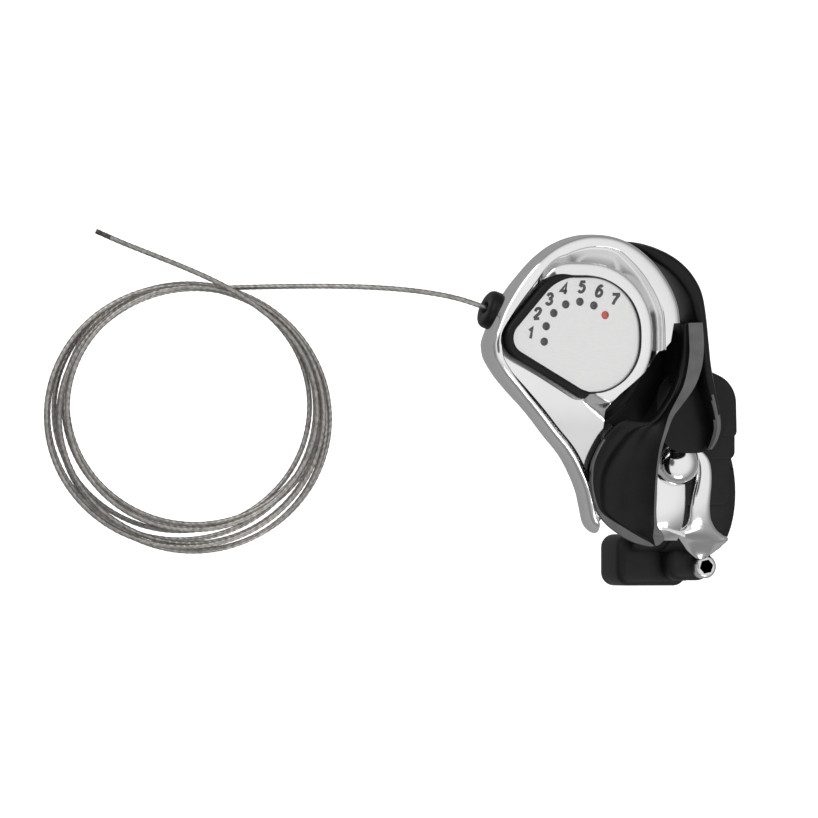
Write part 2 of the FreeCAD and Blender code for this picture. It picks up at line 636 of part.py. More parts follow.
def front_cover():
    """Bright shell: round end over the dial and a tongue sloping to the bar."""
    low, full, top = size("cover_low"), size("cover_full"), size("cover_top")
    wall, inset = size("cover_wall"), size("cover_inset")
    deep = size("tongue_low")
    outside = outline_loft(low, -inset, full, 0.0).fuse(prism(PEAR, full, top))
    outside = outside.fuse(tongue_side(prism(PEAR, deep, low, -inset)))
    inside = outline_loft(low, -inset - wall, full, -wall)
    inside = inside.fuse(prism(PEAR, deep, low, -inset - wall))
    inside = inside.fuse(prism(PEAR, full, top - 1.6, -wall))
    shell = outside.cut(sloped_block(0.0)).cut(inside.cut(sloped_block(1.6)))
    window = [(40, 7), (27.6, 6.0), (23.0, -1.5), (17.6, -9.4), (8.4, -17.0), (8.0, -24.0),
              (8.6, -33.0), (16.0, -41.5), (30, -60), (40, -60)]
    shell = shell.cut(sharp_prism(window, size("window_low"), 60))
    shell = shell.cut(sharp_prism(LEVER_SIDE, low, size("window_low")))
    for x, y in COVER_POSTS:
        post = cylinder(size("post_radius"), size("base_low") + size("base_thick"), top - 1.0, x, y)
        shell = shell.fuse(post.cut(sloped_block(0.5)))
    for x, y in COVER_POSTS:
        shell = shell.cut(cylinder(size("screw_radius"), 15.0, 21.6, x, y))
    opening = prism(DIAL, 30, 60, size("bezel_width") + size("fit"))
    shell = shell.cut(opening)
    turn = Rotation(Vector(0, 0, 1), size("outlet_angle"))
    hole = Part.makeCylinder(size("outlet_radius") + size("fit"), 30,
                             Vector(size("outlet_start") - 3, 0, size("cable_height")),
                             Vector(1, 0, 0))
    hole.Placement = Placement(Vector(), turn).multiply(hole.Placement)
    shell = shell.cut(hole)
    add_shape("front_cover", biggest(shell))
    low_head = size("base_low") - 1.3
    screws = []
    for x, y in COVER_POSTS:
        shank = cylinder(size("screw_radius"), size("base_low"), 21.6, x, y)
        screws.append(shank.fuse(cylinder(size("screw_head"), low_head, size("base_low"), x, y)))
    add_shape("cover_screws", Part.makeCompound(screws))


def lower_case():
    """Black wall between the base plate and the cover, open beside the lever."""
    low, top = size("base_low") + size("base_thick"), size("cover_low")
    inset = size("case_inset")
    wall = prism(PEAR, low, top, -inset).cut(prism(PEAR, low, top, -inset - size("case_wall")))
    wall = wall.cut(sharp_prism(LEVER_SIDE, low, top))
    for x, y in COVER_POSTS:
        wall = wall.cut(cylinder(size("post_radius") + size("fit"), low, top, x, y))
    x, y = holding_pin_centre()
    wall = wall.fuse(cylinder(size("pin_boss"), low, top, x, y))
    wall = wall.cut(cylinder(size("pawl_pin_radius"), low, top, x, y))
    add_shape("lower_case", biggest(wall))


def dial_group():
    width, gap, lip = size("bezel_width"), size("dial_gap"), size("dial_lip")
    low, top, face = size("bezel_low"), size("bezel_top"), size("face_low")
    bezel = prism(DIAL, low, top, width)
    bezel = bezel.cut(prism(DIAL, face, top, -gap)).cut(prism(DIAL, low, face, -lip))
    add_shape("dial_bezel", bezel)
    inset = -(gap + size("fit"))
    plate = prism(DIAL, face, face + size("face_thick"), inset)
    for i in range(int(size("dot_count"))):
        x, y = polar(size("dot_circle"), size("dot_last_angle") + i * size("dot_step"))
        plate = plate.cut(cylinder(size("dot_radius"), face, face + 1, x, y))
    add_shape("dial_face", plate)
    lens_low = size("lens_low")
    add_shape("dial_lens", prism(DIAL, lens_low, lens_low + size("lens_thick"), inset))


# ------------------------------------------------------------------ cable

def outlet_cylinder(radius, start, end):
    part = Part.makeCylinder(radius, end - start, Vector(start, 0, size("cable_height")),
                             Vector(1, 0, 0))
    part.rotate(Vector(0, 0, 0), Vector(0, 0, 1), size("outlet_angle"))
    return part


def casing_stop():
    start, end, floor = size("outlet_start"), size("outlet_end"), size("socket_floor")
    stop = outlet_cylinder(size("outlet_radius"), start, end)
    rim = [e for e in stop.Edges if e.Curve.TypeId == "Part::GeomCircle"]
    far = max(rim, key=lambda e: -e.CenterOfMass.x)
    stop = stop.makeFillet(0.7, [far])
    stop = stop.cut(outlet_cylinder(size("socket_radius"), floor, end))
    stop = stop.cut(outlet_cylinder(size("outlet_bore"), start, floor))
    add_shape("casing_stop", stop)


def cable_lead():
    """Run of cable that bends from the outlet onto the drum."""
    start = Vector(*polar(size("outlet_start") - 0.3, size("outlet_angle")), size("cable_height"))
    inward = Vector(*polar(-1, size("outlet_angle")), 0)
    finish = Vector(*polar(size("wind_radius"), 225.0), size("cable_height"))
    tangent = Vector(*polar(1, 315.0), 0)
    path = smooth_path([start, finish], inward * 9.0, tangent * 9.0)
    add_shape("cable_lead", sweep_round(path, size("cable_radius")))


def coil_point(left, up, near):
    """Point from coil-plane coordinates, measured from the dial centre."""
    tilt = math.radians(size("coil_tilt"))
    x = left * math.cos(tilt) - near * math.sin(tilt)
    z = left * math.sin(tilt) + near * math.cos(tilt)
    return Vector(x, up, z + size("face_low"))


def coil_loop_point(turn):
    """Point of the coil after a number of turns, loops lying unevenly."""
    angle = math.radians(size("coil_start") + 360.0 * turn)
    radius = size("coil_radius") + 1.5 * math.sin(1.9 * turn + 0.6) + 0.6 * math.sin(4.1 * turn)
    shift_x = 1.9 * math.sin(2.3 * turn + 1.0)
    shift_y = -1.3 * math.cos(1.7 * turn)
    left = size("coil_left") + shift_x + radius * 1.02 * math.cos(angle)
    up = size("coil_down") + shift_y + radius * 0.98 * math.sin(angle)
    near = size("coil_pitch") * (turn - size("coil_loops") / 2) + 4.0
    return coil_point(left, up, near)


def bridge(start, start_pull, end, end_pull, count):
    """Inner points of a cubic curve between two points and their pulls."""
    first, last = start + start_pull, end - end_pull
    points = []
    for i in range(1, count):
        t = i / count
        u = 1 - t
        points.append(start * u ** 3 + first * (3 * u * u * t) + last * (3 * u * t * t)
                      + end * t ** 3)
    return points


def inner_cable():
    """Straight run out of the casing stop, a loose coil and a free end."""
    angle, run = size("outlet_angle"), size("straight_run")
    start = Vector(*polar(size("outlet_start") + 0.3, angle), size("cable_height"))
    out = Vector(*polar(1, angle), 0)
    straight = [start + out * (run * i / 4) for i in range(5)]
    steps = 16
    total = int(size("coil_loops") * steps)
    coil = [coil_loop_point(i / steps) for i in range(total + 1)]
    into = (coil[1] - coil[0]).normalize()
    leave = (coil[-1] - coil[-2]).normalize()
    tip = coil_point(size("tip_left"), size("tip_up"), size("tip_near"))
    lead_in = bridge(straight[-1], out * 15.0, coil[0], into * 27.0, 8)
    tail = bridge(coil[-1], leave * 12.0, tip, (tip - coil[-1]) * 0.3, 6)
    path = smooth_path(straight + lead_in + coil + tail + [tip])
    add_shape("inner_cable", sweep_round(path, size("cable_radius")))


def build():
    clamp_bracket()
    clamp_bolt_and_nut()
    clamp_cover()
    screws = [bracket_screw_shape(y, 0.0) for y in (8.0, -8.0)]
    add_shape("bracket_screws", Part.makeCompound(screws), on_axis=False)
    base_plate()
    axle_group()
    ratchet_wheel()
    winding_drum()
    indicator()
    pawls()
    lever_return_spring()
    drum_spring()
    lever_plate()
    thumb_paddle()
    finger_paddle()
    front_cover()
    lower_case()
    dial_group()
    casing_stop()
    cable_lead()
    inner_cable()
    DOC.recompute()


def write_parts():
    """Check every object and write each piece to its own file."""
    failed = [o.Label for o in DOC.Objects if "Invalid" in o.State or "Error" in o.State]
    failed += [n.Label for n in NODES if n.Shape.isNull() or not n.Shape.isValid()]
    if failed:
        raise RuntimeError("failed pieces: " + ", ".join(failed))
    os.makedirs("parts", exist_ok=True)
    for node in NODES:
        node.Shape.exportStep("parts/%s.step" % node.Label)
        print(node.Label, len(node.Shape.Solids), round(node.Shape.Volume, 2))


build()
write_parts()
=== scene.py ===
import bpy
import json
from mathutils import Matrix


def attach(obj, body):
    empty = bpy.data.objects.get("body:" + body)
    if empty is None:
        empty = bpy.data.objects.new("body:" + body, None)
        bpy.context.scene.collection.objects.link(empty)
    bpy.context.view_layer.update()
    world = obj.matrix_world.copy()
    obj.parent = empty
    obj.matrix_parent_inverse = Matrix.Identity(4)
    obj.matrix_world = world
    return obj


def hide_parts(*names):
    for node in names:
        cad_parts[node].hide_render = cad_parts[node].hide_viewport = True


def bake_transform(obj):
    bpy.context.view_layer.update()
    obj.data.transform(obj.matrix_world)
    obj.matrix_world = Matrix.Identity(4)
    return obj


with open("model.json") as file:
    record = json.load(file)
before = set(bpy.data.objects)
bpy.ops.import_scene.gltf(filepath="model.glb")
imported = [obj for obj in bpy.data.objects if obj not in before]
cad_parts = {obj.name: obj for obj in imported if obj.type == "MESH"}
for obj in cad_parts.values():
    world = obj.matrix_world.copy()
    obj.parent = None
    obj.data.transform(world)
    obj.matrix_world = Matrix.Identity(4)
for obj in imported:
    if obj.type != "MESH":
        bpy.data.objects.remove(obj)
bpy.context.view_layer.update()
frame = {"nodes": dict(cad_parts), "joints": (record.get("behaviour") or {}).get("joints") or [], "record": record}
import json
import math
import bpy
import bmesh
from mathutils import Matrix, Vector

# Lengths below are millimetres. Most pieces are drawn around the mechanism
# axis: x outboard, y forward, z up, with the axis at (0, 0).
MM = 0.001
JOINTS = {joint["name"]: joint for joint in frame["joints"]}
AXIS = Vector(JOINTS["lever_swing"]["pos_m"]) / MM
AXIS.z = 0.0
WELD = 1e-7

# The camera looks down from far away, tipped outboard by this angle.
TILT = math.radians(22.0)
VIEW_WIDTH = 186.0
CAMERA_DISTANCE = 6000.0


# ------------------------------------------------------------ mesh helpers

def add_mesh(name, points, faces, look, body, replaces=(), smooth=35.0, on_axis=True,
             accent=None):
    """A piece from millimetre points that rides on a CAD body, or stays where it is drawn when given a tuple of
    bodies.

    The look is a material's name.
    An accent is a second material's name and the numbers of the faces that have it.
    """
    shift = AXIS if on_axis else Vector()
    mesh = bpy.data.meshes.new(name)
    mesh.from_pydata([(Vector(p) + shift) * MM for p in points], [], faces)
    if accent:
        for number in accent[1]:
            mesh.polygons[number].material_index = 1
    tidy = bmesh.new()
    tidy.from_mesh(mesh)
    bmesh.ops.remove_doubles(tidy, verts=tidy.verts, dist=WELD)
    bmesh.ops.recalc_face_normals(tidy, faces=tidy.faces)
    tidy.to_mesh(mesh)
    tidy.free()
    mesh.shade_smooth()
    mesh.set_sharp_from_angle(angle=math.radians(smooth))
    mesh.materials.append(MATERIALS[look])
    if accent:
        mesh.materials.append(MATERIALS[accent[0]])
    piece = bpy.data.objects.new(name, mesh)
    bpy.context.collection.objects.link(piece)
    if isinstance(body, tuple):
        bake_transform(piece)
    else:
        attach(piece, body)
    if replaces:
        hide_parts(*replaces)
    return piece


def loft(rings, closed=True, cap=True):
    """Points and faces joining rings that have the same number of points."""
    count = len(rings[0])
    points = [p for ring in rings for p in ring]
    faces = []
    span = count if closed else count - 1
    for k in range(len(rings) - 1):
        for i in range(span):
            j = (i + 1) % count
            here, above = k * count, (k + 1) * count
            faces.append((here + i, here + j, above + j, above + i))
    if cap and closed:
        faces.append(tuple(range(count)))
        last = (len(rings) - 1) * count
        faces.append(tuple(range(last, last + count)))
    return points, faces


def merge(*parts):
    """One points-and-faces pair from several."""
    points, faces = [], []
    for part_points, part_faces in parts:
        base = len(points)
        points += list(part_points)
        faces += [tuple(base + i for i in face) for face in part_faces]
    return points, faces


def polar(radius, angle):
    turn = math.radians(angle)
    return radius * math.cos(turn), radius * math.sin(turn)


def lerp(a, b, t):
    return a + (b - a) * t


def smoothstep(low, high, value):
    """0 at low and 1 at high, whichever is the greater, with a soft start and end."""
    t = min(1.0, max(0.0, (value - low) / (high - low)))
    return t * t * (3 - 2 * t)


def spline_point(points, position, closed):
    """Catmull-Rom point at a fractional index."""
    count = len(points)
    base = int(math.floor(position))
    t = position - base

    def pick(i):
        if closed:
            return points[i % count]
        return points[min(max(i, 0), count - 1)]
    p0, p1, p2, p3 = (Vector(pick(base + k)) for k in (-1, 0, 1, 2))
    return 0.5 * (2 * p1 + (p2 - p0) * t + (2 * p0 - 5 * p1 + 4 * p2 - p3) * t * t
                  + (3 * p1 - p0 - 3 * p2 + p3) * t ** 3)


def resample(points, count, closed=False, dense=24):
    """Points evenly spaced along a smooth curve through the given points."""
    spans = len(points) if closed else len(points) - 1
    fine = [spline_point(points, i / dense, closed) for i in range(spans * dense + 1)]
    return even(fine, count, closed)


def even(fine, count, closed=False):
    """Evenly spaced points along a polyline."""
    lengths = [0.0]
    for a, b in zip(fine, fine[1:]):
        lengths.append(lengths[-1] + (b - a).length)
    total = lengths[-1]
    steps = count if closed else count - 1
    result, k = [], 0
    for i in range(count):
        target = total * i / steps
        while k < len(lengths) - 2 and lengths[k + 1] < target:
            k += 1
        span = lengths[k + 1] - lengths[k]
        t = (target - lengths[k]) / span if span > 0 else 0.0
        result.append(fine[k].lerp(fine[k + 1], t))
    return result


def close_even(line, count):
    """Evenly spaced points round a closed line whose first point isn't repeated."""
    return even(line + line[:1], count, True)


def rounded(corners, steps=14):
    """Dense closed polyline of a polygon whose corners are (x, y, radius)."""
    result = []
    count = len(corners)
    for i, (x, y, radius) in enumerate(corners):
        here = Vector((x, y))
        before = Vector(corners[i - 1][:2]) - here
        after = Vector(corners[(i + 1) % count][:2]) - here
        before.normalize()
        after.normalize()
        half = before.angle(after) / 2
        reach = radius / math.tan(half)
        centre = here + (before + after).normalized() * (radius / math.sin(half))
        start, end = here + before * reach - centre, here + after * reach - centre
        turn = start.angle_signed(end)
        for k in range(steps + 1):
            spot = start.copy()
            spot.rotate(Matrix.Rotation(-turn * k / steps, 2))
            result.append(centre + spot)
    return result


def outward(points):
    """Outward unit normals of a closed counter-clockwise curve."""
    count = len(points)
    normals = []
    for i in range(count):
        along = points[(i + 1) % count] - points[i - 1]
        normals.append(Vector((along.y, -along.x)).normalized())
    return normals


def lathe(profile, steps=64, centre=(0.0, 0.0)):
    """Solid of revolution about Z from (radius, z) pairs."""
    rings = []
    for radius, z in profile:
        rings.append([(centre[0] + radius * math.cos(2 * math.pi * i / steps),
                       centre[1] + radius * math.sin(2 * math.pi * i / steps), z)
                      for i in range(steps)])
    return loft(rings)


def slab(outline, levels):
    """Closed solid from an outline drawn at (inset, z) levels."""
    normals = outward(outline)
    rings = []
    for inset, z in levels:
        rings.append([(p.x - n.x * inset, p.y - n.y * inset, z) for p, n in zip(outline, normals)])
    return loft(rings)


def soft_levels(low, high, round_low, round_high, steps=4):
    """Levels of a slab with rounded lower and upper edges."""
    levels = []
    for i in range(steps + 1):
        turn = math.pi / 2 * i / steps
        levels.append((round_low * (1 - math.sin(turn)), low + round_low * (1 - math.cos(turn))))
    for i in range(steps + 1):
        turn = math.pi / 2 * i / steps
        levels.append((round_high * (1 - math.cos(turn)), high - round_high * (1 - math.sin(turn))))
    return levels


# -------------------------------------------------------------- materials

def new_material(name):
    material = bpy.data.materials.new(name)
    material.use_nodes = True
    tree = material.node_tree
    return material, tree, tree.nodes["Principled BSDF"]


def object_noise(tree, scale, detail=4.0, stretch=(1.0, 1.0, 1.0)):
    """Noise in object space; scale is in cells per metre."""
    coords = tree.nodes.new("ShaderNodeTexCoord")
    mapping = tree.nodes.new("ShaderNodeMapping")
    mapping.inputs["Scale"].default_value = stretch
    texture = tree.nodes.new("ShaderNodeTexNoise")
    texture.inputs["Scale"].default_value = scale
    texture.inputs["Detail"].default_value = detail
    tree.links.new(coords.outputs["Object"], mapping.inputs["Vector"])
    tree.links.new(mapping.outputs["Vector"], texture.inputs["Vector"])
    return texture.outputs["Fac"]


def ranged(tree, value, low, high):
    mapped = tree.nodes.new("ShaderNodeMapRange")
    mapped.inputs["To Min"].default_value = low
    mapped.inputs["To Max"].default_value = high
    tree.links.new(value, mapped.inputs["Value"])
    return mapped.outputs["Result"]


def shaded(tree, value, dark, light):
    ramp = tree.nodes.new("ShaderNodeValToRGB")
    ramp.color_ramp.elements[0].position = 0.3
    ramp.color_ramp.elements[1].position = 0.7
    ramp.color_ramp.elements[0].color = (*dark, 1)
    ramp.color_ramp.elements[1].color = (*light, 1)
    tree.links.new(value, ramp.inputs["Fac"])
    return ramp.outputs["Color"]


def bumped(tree, shader, value, distance, strength=1.0):
    bump = tree.nodes.new("ShaderNodeBump")
    bump.inputs["Distance"].default_value = distance
    bump.inputs["Strength"].default_value = strength
    tree.links.new(value, bump.inputs["Height"])
    tree.links.new(bump.outputs["Normal"], shader.inputs["Normal"])


def surface(name, dark, light, metal, rough_low, rough_high, scale, grain=0.0, grain_scale=3000.0,
            specular=0.5, stretch=(1.0, 1.0, 1.0)):
    """Principled material with uneven colour and finish, and an optional grain."""
    material, tree, shader = new_material(name)
    patches = object_noise(tree, scale, 3.0, stretch)
    tree.links.new(shaded(tree, patches, dark, light), shader.inputs["Base Color"])
    tree.links.new(ranged(tree, patches, rough_low, rough_high), shader.inputs["Roughness"])
    shader.inputs["Metallic"].default_value = metal
    shader.inputs["Specular IOR Level"].default_value = specular
    if grain:
        bumped(tree, shader, object_noise(tree, grain_scale, 2.0, stretch), grain)
    return material


def lens_material():
    """Clear window that lets light through unbent, with a faint reflection."""
    material, tree, shader = new_material("clear_lens")
    clear = tree.nodes.new("ShaderNodeBsdfTransparent")
    clear.inputs["Color"].default_value = (0.99, 0.99, 0.99, 1)
    gloss = tree.nodes.new("ShaderNodeBsdfGlossy")
    haze = ranged(tree, object_noise(tree, 180.0), 0.03, 0.09)
    tree.links.new(haze, gloss.inputs["Roughness"])
    mix = tree.nodes.new("ShaderNodeMixShader")
    mix.inputs["Fac"].default_value = 0.035
    tree.links.new(clear.outputs["BSDF"], mix.inputs[1])
    tree.links.new(gloss.outputs["BSDF"], mix.inputs[2])
    output = tree.nodes["Material Output"]
    tree.links.new(mix.outputs["Shader"], output.inputs["Surface"])
    tree.nodes.remove(shader)
    return material


# Dark and light colour, metal, least and greatest roughness and patches per metre, then
# where they matter the grain's depth in metres, its scale, the specular level and the stretch.
LOOKS = {
    "black_casting": ((0.006, 0.006, 0.0065), (0.012, 0.012, 0.0125), 0.0, 0.4, 0.5, 260.0,
                      0.00006, 2600.0, 0.25),
    "black_plastic": ((0.005, 0.005, 0.0055), (0.009, 0.009, 0.0095), 0.0, 0.26, 0.36, 220.0,
                      0.00002, 3600.0, 0.2),
    # The next look is the paddles' black plastic made paler: painted sheen standing in for the light that falls on
    # their flat tops and edges.
    "black_painted_sheen": ((0.1, 0.1, 0.102), (0.14, 0.14, 0.142), 0.0, 0.34, 0.46, 260.0,
                    0.00002, 3200.0, 0.3),
    "chrome_shell": ((0.77, 0.77, 0.775), (0.82, 0.82, 0.82), 1.0, 0.09, 0.15, 90.0),
    "plated_steel": ((0.42, 0.42, 0.41), (0.6, 0.59, 0.56), 1.0, 0.25, 0.42, 400.0,
                     0.00001, 5000.0),
    "bright_steel": ((0.6, 0.6, 0.6), (0.74, 0.73, 0.72), 1.0, 0.16, 0.3, 500.0,
                     0.00001, 6000.0),
    "spring_steel": ((0.2, 0.2, 0.21), (0.36, 0.36, 0.37), 1.0, 0.25, 0.4, 700.0,
                     0.00001, 6000.0),
    "cable_steel": ((0.26, 0.25, 0.235), (0.48, 0.46, 0.43), 1.0, 0.3, 0.45, 900.0),
    "bush_polymer": ((0.72, 0.7, 0.64), (0.86, 0.85, 0.8), 0.0, 0.4, 0.5, 300.0,
                     0.00001, 4000.0),
    "drum_polymer": ((0.03, 0.03, 0.032), (0.06, 0.06, 0.064), 0.0, 0.4, 0.55, 300.0,
                     0.00002, 4000.0),
    "indicator_grey": ((0.06, 0.06, 0.063), (0.085, 0.085, 0.088), 0.0, 0.4, 0.5, 500.0,
                       0.00001, 4000.0),
    "indicator_red": ((0.72, 0.05, 0.025), (0.85, 0.09, 0.05), 0.0, 0.25, 0.35, 900.0),
    "dial_silver": ((0.8, 0.8, 0.795), (0.86, 0.86, 0.855), 0.7, 0.3, 0.38, 900.0,
                    0.000004, 900.0, 0.5, (1.0, 12.0, 1.0)),
    "number_ink": ((0.01, 0.01, 0.011), (0.025, 0.025, 0.026), 0.0, 0.4, 0.55, 1500.0),
    "fused_wire_end": ((0.05, 0.048, 0.045), (0.16, 0.15, 0.14), 1.0, 0.35, 0.6, 1500.0)}
MATERIALS = {name: surface(name, *look) for name, look in LOOKS.items()}
MATERIALS["clear_lens"] = lens_material()


def finish_cad_nodes():
    """Give every CAD node the material of its slot."""
    slots = {item["node"]: item["material_slot"] for item in frame["record"]["subparts"]}
    for name, node in frame["nodes"].items():
        node.data.materials.clear()
        node.data.materials.append(MATERIALS[slots[name]])


# ------------------------------------------------------------ bright cover

# Plan outline of the cover, counter-clockwise from the outboard side.
COVER = [(25.8, 1.0), (25.7, 4.0), (25.3, 7.2), (24.2, 10.4), (22.4, 13.6), (19.8, 16.9),
         (16.4, 19.9), (12.6, 22.2), (8.8, 23.4), (5.2, 23.8), (1.8, 23.6), (-2.0, 22.6),
         (-5.8, 20.8), (-9.6, 17.9), (-13.1, 14.2), (-15.8, 10.5), (-18.0, 6.8), (-19.4, 3.5),
         (-20.5, 0.6), (-20.8, -1.9), (-19.9, -5.4), (-16.8, -9.4), (-13.1, -13.1),
         (-8.4, -17.7), (-4.3, -21.8), (0.5, -26.4), (3.9, -30.9), (6.2, -34.7), (7.7, -38.2),
         (9.3, -41.9), (11.5, -43.9), (14.5, -44.5), (18.0, -44.2), (20.5, -42.5), (22.0, -38.0),
         (23.6, -30.0), (24.9, -20.0), (25.5, -10.0), (25.8, -4.0)]
# Corners of the dial: x, y, corner radius.
DIAL = [(15.0, 14.1, 12.6), (-5.5, 14.1, 9.0), (-18.8, -0.8, 4.0), (1.2, -12.2, 4.5),
        (15.0, -11.6, 11.5)]
DIAL_CENTRE = Vector((-1.0, 0.6))
# Line along which the cover is open for the lever.
LEVER_CUT = [(23.4, 3.6), (23.0, 1.4), (22.6, -0.6), (20.9, -2.4), (18.8, -4.8), (16.5, -7.3),
             (13.4, -9.9), (10.2, -12.4), (8.3, -14.2), (7.6, -16.0), (8.4, -18.6), (8.5, -24.0),
             (8.9, -33.0), (10.4, -38.5), (12.0, -42.0), (13.2, -48.0)]
# Where the raised collar falls to the tongue, and the unit direction up the fall.
CREASE, CREASE_UP = (3.6, -13.4), (0.535, 0.845)
HEAD_TOP = 36.2
VALLEY = 33.9
COLLAR_FOOT = 1.53
SHELL_WALL = 1.1
SHELL_SHARP = 38.0
COVER_POINTS, DIAL_POINTS, FIELD_RINGS = 520, 260, 26
# Band round the cover: inset, height below the head's top, height above the tongue's surface.
BAND = [(0.0, -6.0, -5.0), (0.0, -3.2, -4.0), (0.05, -1.9, -3.2), (0.16, -1.2, -2.5),
        (0.36, -0.75, -1.8), (0.7, -0.45, -1.2), (1.2, -0.24, -0.65), (1.8, -0.09, -0.25),
        (2.3, -0.01, -0.05), (2.6, 0.0, 0.0), (2.82, -0.12, -0.05), (2.95, -0.4, -0.15),
        (3.0, -0.9, -0.35)]
# Groove inside the band: inset, height above the valley, height above the tongue's surface.
GROOVE_INNER = 3.42
GROOVE = [(3.05, 0.3, -0.75), (3.08, 0.05, -0.85), (3.36, 0.0, -0.85), (GROOVE_INNER, 0.02, 0.0)]
# Collar round the dial: share of its width outside the rim, height above its foot.
COLLAR = [(0.98, 0.22), (0.94, 0.42), (0.87, 0.6), (0.76, 0.74), (0.6, 0.84), (0.4, 0.9),
          (0.18, 0.9), (0.05, 0.8), (0.0, 0.4), (0.0, -2.4)]


def tongue_height(y):
    """Height of the cover's lower surface, level at first and then sloping down."""
    past = -5.5 - y
    if past <= 0.0:
        return 33.6
    return 33.6 - 0.45 * (past * past / 28.0 if past < 14.0 else past - 7.0)


def tongue_share(y):
    """0 at the round head, 1 along the tongue."""
    return smoothstep(-3.0, -15.0, y) if y < -3.0 else 0.0


def raised_share(spot, angle):
    """1 where a raised collar surrounds the dial, 0 on the tongue side."""
    if angle < -45.0:
        past = ((spot.x - CREASE[0]) * CREASE_UP[0]
                + (spot.y - CREASE[1]) * CREASE_UP[1])
        return smoothstep(-1.7, 1.5, past) * smoothstep(1.2, 4.4, spot.x)
    return 1.0 - smoothstep(104.0, 134.0, angle)


def crown_width(n, room):
    """How wide the top of the band is, where 1 is its width at the forward edge."""
    right = smoothstep(0.2, 0.95, n.x)
    left = smoothstep(0.1, 0.7, -n.x) * smoothstep(0.5, 0.0, n.y)
    return min(1.0 + 0.7 * right - 0.3 * left, max(0.15, room / 3.6))


def dial_angle(p):
    """Direction in degrees from the dial's centre to a point."""
    arm = p - DIAL_CENTRE
    return math.degrees(math.atan2(arm.y, arm.x))


def dial_reach(outline):
    """Distance from the dial's centre to its outline at each half degree."""
    return {round(dial_angle(p) * 2): (p - DIAL_CENTRE).length
            for p in close_even(outline, 3000)}


def collar_share(p):
    """How wide the collar is on the line from the dial's centre to this outline point."""
    angle = dial_angle(p)
    if angle < 0.0:
        return smoothstep(-92.0, -62.0, angle)
    return 1.0 - smoothstep(100.0, 134.0, angle)


def cover_rings():
    """Rings from the cover's lower edge over the band in to the dial, and sections of a black strip in the groove
    that is painted shadow.
    """
    outline = resample(COVER, COVER_POINTS, closed=True)
    edge = list(zip(outline, outward(outline)))
    reach = dial_reach(rounded(DIAL))

    def dial_side(p, extra):
        arm = p - DIAL_CENTRE
        length = reach.get(round(dial_angle(p) * 2), 14.0)
        return DIAL_CENTRE + arm.normalized() * (length + extra)

    def crown(p, n):
        rim = dial_side(p, 1.9 + 2.0 * collar_share(p))
        return crown_width(n, (p - rim).dot(n) - 0.15)

    def low_edge(p, n):
        spot = p - n * 2.6
        return (spot.x, spot.y, lerp(21.5, 18.0, tongue_share(p.y)))

    def band(p, n, inset, head, tongue):
        spot = p - n * (inset * (crown(p, n) if inset > 0.1 else 1.0))
        z = lerp(HEAD_TOP + head, tongue_height(p.y) + tongue, tongue_share(p.y))
        return (spot.x, spot.y, z)

    def groove(p, n, inset, head, tongue):
        spot = p - n * (inset * crown(p, n))
        raised = raised_share(spot, dial_angle(p))
        return (spot.x, spot.y, lerp(tongue_height(spot.y) + tongue, VALLEY + head, raised))

    def field(p, n, t):
        near = p - n * (GROOVE_INNER * crown(p, n))
        spot = near.lerp(dial_side(p, lerp(1.25, 3.4, collar_share(p))), t)
        rise = VALLEY + 0.03 + 1.5 * t * (0.6 + 0.4 * t)
        return (spot.x, spot.y,
                lerp(tongue_height(spot.y), rise, raised_share(spot, dial_angle(p))))

    def collar(p, share, head):
        wide = collar_share(p)
        spot = dial_side(p, lerp(1.1, 0.05, wide) + lerp(0.15, 3.35, wide) * share)
        return (spot.x, spot.y,
                lerp(tongue_height(spot.y) + min(0.0, head), VALLEY + COLLAR_FOOT + head,
                     raised_share(spot, dial_angle(p))))

    rings = [[low_edge(p, n) for p, n in edge]]
    rings += [[band(p, n, *row) for p, n in edge] for row in BAND]
    rings += [[groove(p, n, *row) for p, n in edge] for row in GROOVE]
    rings += [[field(p, n, (k + 1) / FIELD_RINGS) for p, n in edge] for k in range(FIELD_RINGS)]
    rings += [[collar(p, *row) for p in outline] for row in COLLAR]

    # Where the groove runs along the tongue, a thin black strip is laid in it: painted shadow standing in for the
    # shade in that gap, not a part.
    shadow_strip = []
    for p, n in edge:
        width = crown(p, n)
        near, far = p - n * (3.06 * width), p - n * (3.38 * width)
        if raised_share(near, dial_angle(p)) < 0.01 and near.x < 7.5 and p.y < 4.0:
            low, high = (tongue_height(near.y) + rise for rise in (-0.82, -0.12))
            shadow_strip.append([(near.x, near.y, low), (far.x, far.y, low), (far.x, far.y, high),
                         (near.x, near.y, high)])
    return rings, shadow_strip


def cut_away(piece, outline, far=80.0, flare=4.0, margin=0.4):
    """Remove the part of a sheet to the right of an open line, exactly along it."""
    work = bmesh.new()
    work.from_mesh(piece.data)
    line = [(Vector((x, y, 0)) + AXIS) * MM for x, y in outline]
    first, last = line[0], line[-1]
    region = line + [last + Vector((far * MM, -flare * MM, 0)),
                     first + Vector((far * MM, flare * MM, 0))]

    def split(geometry, spot, along):
        bmesh.ops.bisect_plane(work, geom=geometry, plane_co=spot,
                               plane_no=Vector((along.y, -along.x, 0)), dist=WELD)

    def beside(face, spot, along, length):
        places = [(v.co - spot).xy.dot(along.xy) for v in face.verts]
        return min(places) < length + margin * MM and max(places) > -margin * MM

    for a, b in zip(line, line[1:]):
        along = (b - a).normalized()
        near = [f for f in work.faces if beside(f, a, along, (b - a).length)]
        geometry = set(near)
        for f in near:
            geometry.update(f.edges)
            geometry.update(f.verts)
        split(list(geometry), a, along)
    for end, other in ((first, region[-1]), (last, region[-2])):
        split(list(work.verts) + list(work.edges) + list(work.faces), end,
              (other - end).normalized())
    gone = [f for f in work.faces if inside(f.calc_center_median(), region)]
    bmesh.ops.delete(work, geom=gone, context="FACES")
    work.to_mesh(piece.data)
    work.free()


